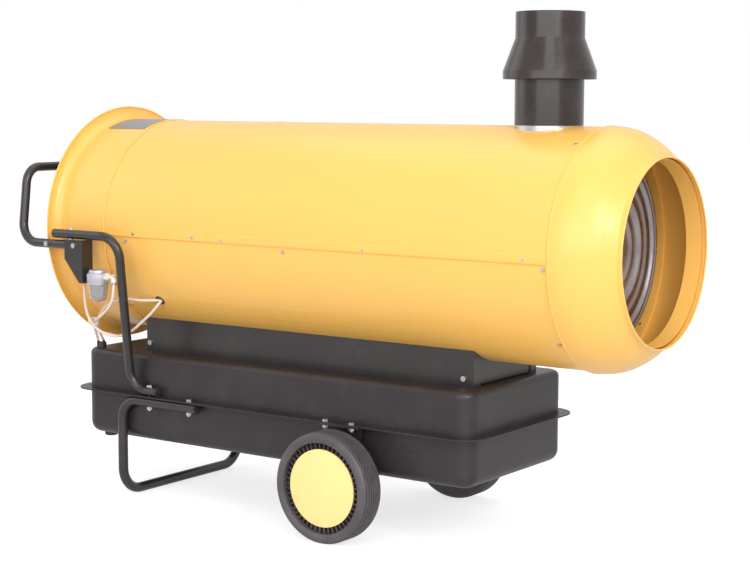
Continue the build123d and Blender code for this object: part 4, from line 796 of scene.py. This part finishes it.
def makeHem(name, hem, side):
    # a flat fold along the lower edge of an upper shell, bent to the casing's round
    radius = casing["radius"] * 1000
    rows = casingTrim["hemRows"]
    section = []
    for index in range(rows + 1):
        rise = hem["low"] + (hem["high"] - hem["low"]) * index / rows
        thinner = casingTrim["hemEdge"] if index in (0, rows) else 0.0
        section.append((rise, radius + hem["thickness"] * (1 - thinner)))
    section += [(rise, radius - casingTrim["hemSink"]) for rise, _ in reversed(section)]
    corners = []
    for rise, out in section:
        turn = math.asin(rise / radius)
        corners.append(place(hem["from"], side * out * math.cos(turn), -out * math.sin(turn)))
    bm = bmesh.new()
    extrudeOutline(bm, corners, along * ((hem["from"] - hem["to"]) / 1000))
    addPiece(name, bm, "heater", "yellowPaint")


for name in ("noseLap", "inletLap", "flareStep", "coverLap"):
    makeLap(name)
for sideName, side in (("Right", -1), ("Left", 1)):
    makeHem("frontHem" + sideName, casingTrim["frontHem"], side)
    makeHem("rearHem" + sideName, casingTrim["rearHem"], side)
print("casing trim made")

# pressed rings of the heat exchanger's end, seen through the outlet; each crest is
# (radius, rise, spread)
exchangerFace = {
    "setback": 135.0,
    "outer": 213.0,
    "inner": 60.0,
    "crests": (
        (207, 6.0, 5.0), (190, 9.0, 7.5), (163, 5.0, 9.0), (126, 9.0, 10.0), (88, 5.0, 7.0),
    ),
    "base": 5.2,
    "back": 0.2,
    "steps": 160,
    "stride": 1.5,
    "sharpAngle": 60.0,
}


def makeExchangerFace():
    face = exchangerFace
    outline = []
    span = face["outer"] - face["inner"]
    count = int(span / face["stride"])
    for index in range(count + 1):
        radius = face["inner"] + span * index / count
        height = face["base"]
        for crest, rise, spread in face["crests"]:
            height += rise * math.exp(-(((radius - crest) / spread) ** 2))
        outline.append((height, radius))
    outline += [(face["back"], face["outer"]), (face["back"], face["inner"])]
    bm = bmesh.new()
    centre, out = onCasing(face["setback"], 90, 0)
    spinProfile(bm, outline, centre, along, out, face["steps"])
    addPiece(
        "exchangerFace", bm, "heater", "hotSteel", sharpAngle=face["sharpAngle"],
    )


makeExchangerFace()
print("exchanger face made")

# wheels: tyre with ribbed tread, and the ribs round the hub cap; places in a section are
# (out from the middle plane, radius), and wall and bead count from the tyre's own edges
wheels = {
    "setback": 681.0,
    "centreZ": 0.125,
    "radius": 125.0,
    "inner": 238.0,
    "outer": 304.0,
    "seat": 102.5,
    "innerSeat": 97.2,
    "ledge": 283.0,
    "shoulder": 11.0,
    "treadHalf": 30.0,
    "treadSteps": 132,
    "groovePitch": 8.4,
    "grooveDepth": 3.2,
    "grooveShare": 0.2,
    "grooveSteepness": 4.0,
    "wall": ((0.6, -1.5), (0.0, -3.0)),
    "bead": ((-0.4, 3.0), (-1.6, 0.4), (-3.0, 0.0)),
    "tyreSharpAngle": 38.0,
    "rim": (
        (242, 10.3), (242, 22), (262.5, 22), (262.5, 92), (243, 92), (243, 97), (283.2, 97),
        (283.2, 102.3), (285, 102.3), (285, 88), (293, 88), (293, 82), (283, 82), (283, 92),
        (267.5, 92), (267.5, 22), (288, 22), (288, 10.3),
    ),
    "ribs": {
        "count": 50, "from": 88.2, "to": 102.2, "width": 2.6, "face": 295.6, "depth": 11.0,
        "bevel": 0.6,
    },
    "steps": 180,
}


def tyreOutline():
    # all round the tyre's section, with ribs that run over its shoulders
    middle = (wheels["inner"] + wheels["outer"]) / 2
    half = (wheels["outer"] - wheels["inner"]) / 2
    flat = half - wheels["shoulder"]
    points = [(wheels["inner"], wheels["innerSeat"])]
    for index in range(wheels["treadSteps"] + 1):
        out = half * (2 * index / wheels["treadSteps"] - 1)
        past = max(abs(out) - flat, 0)
        drop = wheels["shoulder"] - math.sqrt(max(wheels["shoulder"] ** 2 - past ** 2, 0))
        groove = 0.0
        if abs(out) < wheels["treadHalf"]:
            wave = math.cos(2 * math.pi * out / wheels["groovePitch"])
            depth = (wave - wheels["grooveShare"]) * wheels["grooveSteepness"]
            groove = wheels["grooveDepth"] * max(0.0, min(1.0, depth))
        points.append((middle + out, wheels["radius"] - drop - groove))
    edge = wheels["radius"] - wheels["shoulder"]
    points += [(wheels["outer"] + out, edge + rise) for out, rise in wheels["wall"]]
    points += [(wheels["outer"] + out, wheels["seat"] + rise) for out, rise in wheels["bead"]]
    points += [(wheels["ledge"], wheels["seat"]), (wheels["ledge"], wheels["innerSeat"])]
    return points


def addRimRibs(bm, centre, axis):
    ribs = wheels["ribs"]
    middle = (ribs["from"] + ribs["to"]) / 2000
    depth = (ribs["face"] - ribs["depth"] / 2) / 1000
    sizes = (ribs["to"] - ribs["from"], ribs["width"], ribs["depth"])
    for index in range(ribs["count"]):
        turn = 2 * math.pi * index / ribs["count"]
        out = Vector((math.cos(turn), 0, math.sin(turn)))
        spot = centre + out * middle + axis * depth
        addBox(bm, spot, (out, out.cross(axis), axis), sizes, ribs["bevel"])


def makeWheel(name, side):
    body = "wheel_" + name.lower()
    centre = Vector((casing["rimX"] - wheels["setback"] / 1000, 0, wheels["centreZ"]))
    axis = Vector((0, side, 0))
    bm = bmesh.new()
    spinProfile(bm, tyreOutline(), centre, axis, upwards, wheels["steps"])
    addPiece(
        "tyre" + name, bm, body, "tyreRubber", ("tyre_" + name.lower(),),
        wheels["tyreSharpAngle"],
    )
    bm = bmesh.new()
    spinProfile(bm, wheels["rim"], centre, axis, upwards, wheels["steps"] // 2)
    addRimRibs(bm, centre, axis)
    addPiece(
        "rim" + name, bm, body, "ribPlastic", ("rim_" + name.lower(),),
    )


makeWheel("Right", -1)
makeWheel("Left", 1)
print("wheels dressed")

# fuel filter: ribbed head with two ports, clear bowl and the pleated element in it; heights
# count from the head's top, and the fittings' (run, rise) from the ports' level
fuelFilter = {
    "setback": 1354.0,
    "y": -298.0,
    "topDrop": 92.0,
    "head": (
        (0, 0), (0, 19), (-1.2, 21.5), (-3.5, 22.6), (-5.5, 22.9), (-6.2, 22.2), (-8.0, 22.2),
        (-8.6, 25.0), (-10.0, 26.0), (-30.5, 26.0), (-32.0, 25.2), (-35.2, 25.2), (-35.2, 0),
    ),
    "headSteps": 96,
    "flutes": {
        "count": 28, "radius": 26.0, "width": 2.6, "from": -11.5, "to": -29.5, "depth": 1.6,
        "bevel": 0.5,
    },
    "bowl": (
        (-34.8, 24.0), (-39.0, 23.8), (-50.0, 22.6), (-66.0, 20.8), (-71.5, 19.4),
        (-75.0, 15.5), (-77.0, 10.0), (-77.4, 5.5), (-79.4, 5.0), (-79.4, 0), (-76.4, 0),
        (-75.6, 9.5), (-73.6, 14.3), (-70.6, 17.6), (-65.4, 19.0), (-50.0, 20.8),
        (-39.0, 22.0), (-34.8, 22.2),
    ),
    "bowlSteps": 72,
    "element": {"from": -37.0, "to": -64.0, "crest": 16.5, "root": 13.6, "pleats": 22},
    "elementCaps": {"inset": 0.6, "half": 1.6, "lip": 1.5, "sides": 40},
    "portDrop": 16.0,
    "portStart": 24.0,
    "portReaches": (-47.0, 51.0),
    "portEnd": 14.5,
    "portBend": 7.0,
    "portSteps": 5,
    "pipe": 5.0,
    "pipeSides": 16,
    "stub": {"from": -20.0, "to": -38.0, "radius": 8.2, "sides": 32},
    "fittings": (
        {"from": (25, 0), "to": (34, 0), "radius": 9.6, "sides": 6, "tip": 9.6},
        {"from": (34, 0), "to": (37, 0), "radius": 7.4, "sides": 24, "tip": 6.6},
        {"from": (51, -4), "to": (51, -12), "radius": 6.8, "sides": 24, "tip": 6.8},
        {"from": (51, 4.5), "to": (51, 6.5), "radius": 6.0, "sides": 24, "tip": 4.5},
    ),
}


def filterSpot(run=0.0, rise=0.0):
    return place(fuelFilter["setback"] - run, fuelFilter["y"], fuelFilter["topDrop"] - rise)


def portSpot(run, rise=0.0):
    return filterSpot(run, rise - fuelFilter["portDrop"])


def makeElbow(bm, reach):
    # a port that leaves the head level, turns down, and ends at the hose
    side = math.copysign(1, reach)
    bend = fuelFilter["portBend"]
    steps = fuelFilter["portSteps"]
    spots = [portSpot(side * fuelFilter["portStart"])]
    for index in range(steps + 1):
        turn = math.pi / 2 * index / steps
        run = abs(reach) - bend + bend * math.sin(turn)
        spots.append(portSpot(side * run, bend * math.cos(turn) - bend))
    spots.append(portSpot(reach, -fuelFilter["portEnd"]))
    sweepRing(bm, spots, fuelFilter["pipe"], across, fuelFilter["pipeSides"])


def makeFilterHead():
    bm = bmesh.new()
    spinProfile(bm, fuelFilter["head"], filterSpot(), upwards, along, fuelFilter["headSteps"])
    flutes = fuelFilter["flutes"]
    lift = upwards * ((flutes["from"] + flutes["to"]) / 2000)
    sizes = (flutes["depth"], flutes["width"], flutes["from"] - flutes["to"])
    for index in range(flutes["count"]):
        turn = 2 * math.pi * index / flutes["count"]
        out = Vector((math.cos(turn), math.sin(turn), 0))
        middle = filterSpot() + out * (flutes["radius"] / 1000) + lift
        addBox(bm, middle, (out, upwards.cross(out), upwards), sizes, flutes["bevel"])
    stub = fuelFilter["stub"]
    addRod(bm, portSpot(stub["from"]), portSpot(stub["to"]), stub["radius"], stub["sides"])
    addPiece("filterHead", bm, "heater", "filterCast", ("filter_head",))


def makeFilterElbows():
    bm = bmesh.new()
    for reach in fuelFilter["portReaches"]:
        makeElbow(bm, reach)
    for fitting in fuelFilter["fittings"]:
        start, end = portSpot(*fitting["from"]), portSpot(*fitting["to"])
        addRod(bm, start, end, fitting["radius"], fitting["sides"], fitting["tip"])
    addPiece("filterElbows", bm, "heater", "portPlastic")


def makeFilterBowl():
    bm = bmesh.new()
    spinProfile(bm, fuelFilter["bowl"], filterSpot(), upwards, along, fuelFilter["bowlSteps"])
    addPiece("filterBowl", bm, "heater", "clearBowl", ("filter_bowl",))


def makeFilterElement():
    element = fuelFilter["element"]
    caps = fuelFilter["elementCaps"]
    corners = []
    for index in range(2 * element["pleats"]):
        turn = math.pi * index / element["pleats"]
        radius = element["crest"] if index % 2 else element["root"]
        out = Vector((math.cos(turn), math.sin(turn), 0))
        corners.append(filterSpot(0, element["from"]) + out * (radius / 1000))
    bm = bmesh.new()
    extrudeOutline(bm, corners, upwards * ((element["to"] - element["from"]) / 1000))
    half = upwards * (caps["half"] / 1000)
    for height in (element["from"] - caps["inset"], element["to"] + caps["inset"]):
        spot = filterSpot(0, height)
        addRod(bm, spot - half, spot + half, element["crest"] + caps["lip"], caps["sides"])
    addPiece("filterElement", bm, "heater", "filterPaper")


makeFilterHead()
makeFilterElbows()
makeFilterBowl()
makeFilterElement()
print("filter made")

# grommet in the casing, the hose ends that run into it, and the clips on the hoses; each
# hose end is (place, shift along the casing, shift round it)
hoseSeats = {
    "setback": 1243.0,
    "angle": 220.0,
    "shellRadius": 261.2,
    "flange": (
        (-1.5, 9.0), (2.2, 9.0), (3.0, 10.0), (3.0, 11.4), (2.0, 12.4), (0.1, 12.8), (-1.5, 12.0),
    ),
    "flangeSteps": 48,
    "plug": {"from": -1.4, "to": 0.4, "radius": 9.4, "sides": 40},
    "ends": (((1249, -209, 185.5), 6.4, 1.3), ((1258.2, -209.2, 168.5), 3.8, -0.8)),
    "endRadius": 3.6,
    "endSides": 20,
    "endSink": 1.0,
    "clips": ((1401, -298, 123.5), (1303, -298, 123.5)),
    "clipBand": ((-2.5, 3.4), (-2.5, 5.4), (-2.0, 5.8), (2.0, 5.8), (2.5, 5.4), (2.5, 3.4)),
    "clipSteps": 32,
    "clipScrew": {"out": -6.6, "sizes": (5, 4, 3.2), "bevel": 0.4},
}
seatSpot, seatOut = onCasing(hoseSeats["setback"], hoseSeats["angle"], hoseSeats["shellRadius"])


def makeGrommet():
    plug = hoseSeats["plug"]
    start, end = (seatSpot + seatOut * (plug[key] / 1000) for key in ("from", "to"))
    bm = bmesh.new()
    spinProfile(bm, hoseSeats["flange"], seatSpot, seatOut, along, hoseSeats["flangeSteps"])
    addRod(bm, start, end, plug["radius"], plug["sides"])
    addPiece("hoseGrommet", bm, "heater", "darkRubber", ("hose_grommet",))


def makeHoseEnds():
    bm = bmesh.new()
    around = seatOut.cross(along)
    bottom = seatSpot - seatOut * (hoseSeats["endSink"] / 1000)
    for hoseEnd, alongShift, aroundShift in hoseSeats["ends"]:
        root = bottom + along * (alongShift / 1000) + around * (aroundShift / 1000)
        addRod(bm, place(*hoseEnd), root, hoseSeats["endRadius"], hoseSeats["endSides"])
    addPiece("hoseEnds", bm, "heater", "paleHose")


def makeHoseClips():
    bm = bmesh.new()
    screw = hoseSeats["clipScrew"]
    for clip in hoseSeats["clips"]:
        spot = place(*clip)
        spinProfile(bm, hoseSeats["clipBand"], spot, upwards, along, hoseSeats["clipSteps"])
        head = spot + across * (screw["out"] / 1000)
        addBox(bm, head, (along, upwards, across), screw["sizes"], screw["bevel"])
    addPiece("hoseClips", bm, "heater", "zincPlate")


makeGrommet()
makeHoseEnds()
makeHoseClips()
print("hose seats made")

# floor, lamps and world; a mirror value is how much of the white a reflection sees
studio = {
    "floorSize": 60.0,
    "floorColour": (0.5, 0.5, 0.5, 1),
    "floorRoughness": 0.9,
    "floorGlow": 0.72,
    "floorMirror": 0.2,
    "floorBounce": 0.24,
    "worldStrength": 0.62,
    "worldMirror": 0.5,
    "lamps": {
        "keySoftbox": {
            "spot": (2.4, -4.6, 2.3), "aim": (0.2, 0, 0.65), "size": (8.4, 3.0), "watts": 180,
        },
        "highSoftbox": {
            "spot": (2.1, -2.9, 4.6), "aim": (0.3, 0, 0.9), "size": (2.0, 1.2), "watts": 22,
        },
        "noseSoftbox": {
            "spot": (4.2, -2.2, 2.9), "aim": (0.7, 0, 0.7), "size": (1.5, 1.9), "watts": 76,
        },
        "topSoftbox": {
            "spot": (-0.2, 0.6, 4.2), "aim": (0, 0, 0.6), "size": (4.6, 3.4), "watts": 36,
        },
        "rearSoftbox": {
            "spot": (-4.0, -1.5, 2.2), "aim": (-0.4, 0, 0.6), "size": (2.8, 2.8), "watts": 24,
        },
    },
}


def seenDirectly(tree, mirror):
    # 1 where the camera or clear plastic looks, and mirror where a reflection does
    rays = tree.nodes.new("ShaderNodeLightPath").outputs
    seen = mathNode(tree, "MAXIMUM", rays["Is Camera Ray"], rays["Is Transmission Ray"])
    mirrored = mathNode(tree, "MULTIPLY", rays["Is Glossy Ray"], mirror)
    return mathNode(tree, "MAXIMUM", seen, mirrored)


def addGlow(tree, lit):
    # plain white light, of one strength where it is seen and another where it only lights
    glow = tree.nodes.new("ShaderNodeEmission")
    seen = seenDirectly(tree, studio["floorMirror"])
    strength = rampNode(tree, seen, 0, 1, studio["floorBounce"], studio["floorGlow"])
    tree.links.new(strength, glow.inputs["Strength"])
    both = tree.nodes.new("ShaderNodeAddShader")
    tree.links.new(lit, both.inputs[0])
    tree.links.new(glow.outputs["Emission"], both.inputs[1])
    return both.outputs["Shader"]


def makeFloor():
    bm = bmesh.new()
    bmesh.ops.create_grid(bm, x_segments=1, y_segments=1, size=studio["floorSize"] / 2)
    mesh = bpy.data.meshes.new("studioFloor")
    bm.to_mesh(mesh)
    bm.free()
    floor = bpy.data.objects.new("studioFloor", mesh)
    scene.collection.objects.link(floor)
    material = bpy.data.materials.new("studioWhite")
    material.use_nodes = True
    tree = material.node_tree
    shader = tree.nodes["Principled BSDF"]
    shader.inputs["Base Color"].default_value = studio["floorColour"]
    shader.inputs["Roughness"].default_value = studio["floorRoughness"]
    shader.inputs["Specular IOR Level"].default_value = 0.0
    surface = addGlow(tree, shader.outputs["BSDF"])
    tree.links.new(surface, tree.nodes["Material Output"].inputs["Surface"])
    mesh.materials.append(material)


def makeWorld():
    world = bpy.data.worlds.new("studioWorld")
    scene.world = world
    world.use_nodes = True
    tree = world.node_tree
    lit = tree.nodes["Background"]
    lit.inputs["Color"].default_value = (1, 1, 1, 1)
    seen = seenDirectly(tree, studio["worldMirror"])
    strength = rampNode(tree, seen, 0, 1, studio["worldStrength"], 1)
    tree.links.new(strength, lit.inputs["Strength"])


def makeLamp(name, lamp):
    data = bpy.data.lights.new(name, "AREA")
    data.shape = "RECTANGLE"
    data.size, data.size_y = lamp["size"]
    data.energy = lamp["watts"]
    obj = bpy.data.objects.new(name, data)
    scene.collection.objects.link(obj)
    obj.location = lamp["spot"]
    towards = Vector(lamp["aim"]) - Vector(lamp["spot"])
    obj.rotation_euler = towards.to_track_quat("-Z", "Y").to_euler()


makeFloor()
makeWorld()
for name, lamp in studio["lamps"].items():
    makeLamp(name, lamp)
scene.view_settings.view_transform = "Standard"
print("studio ready")
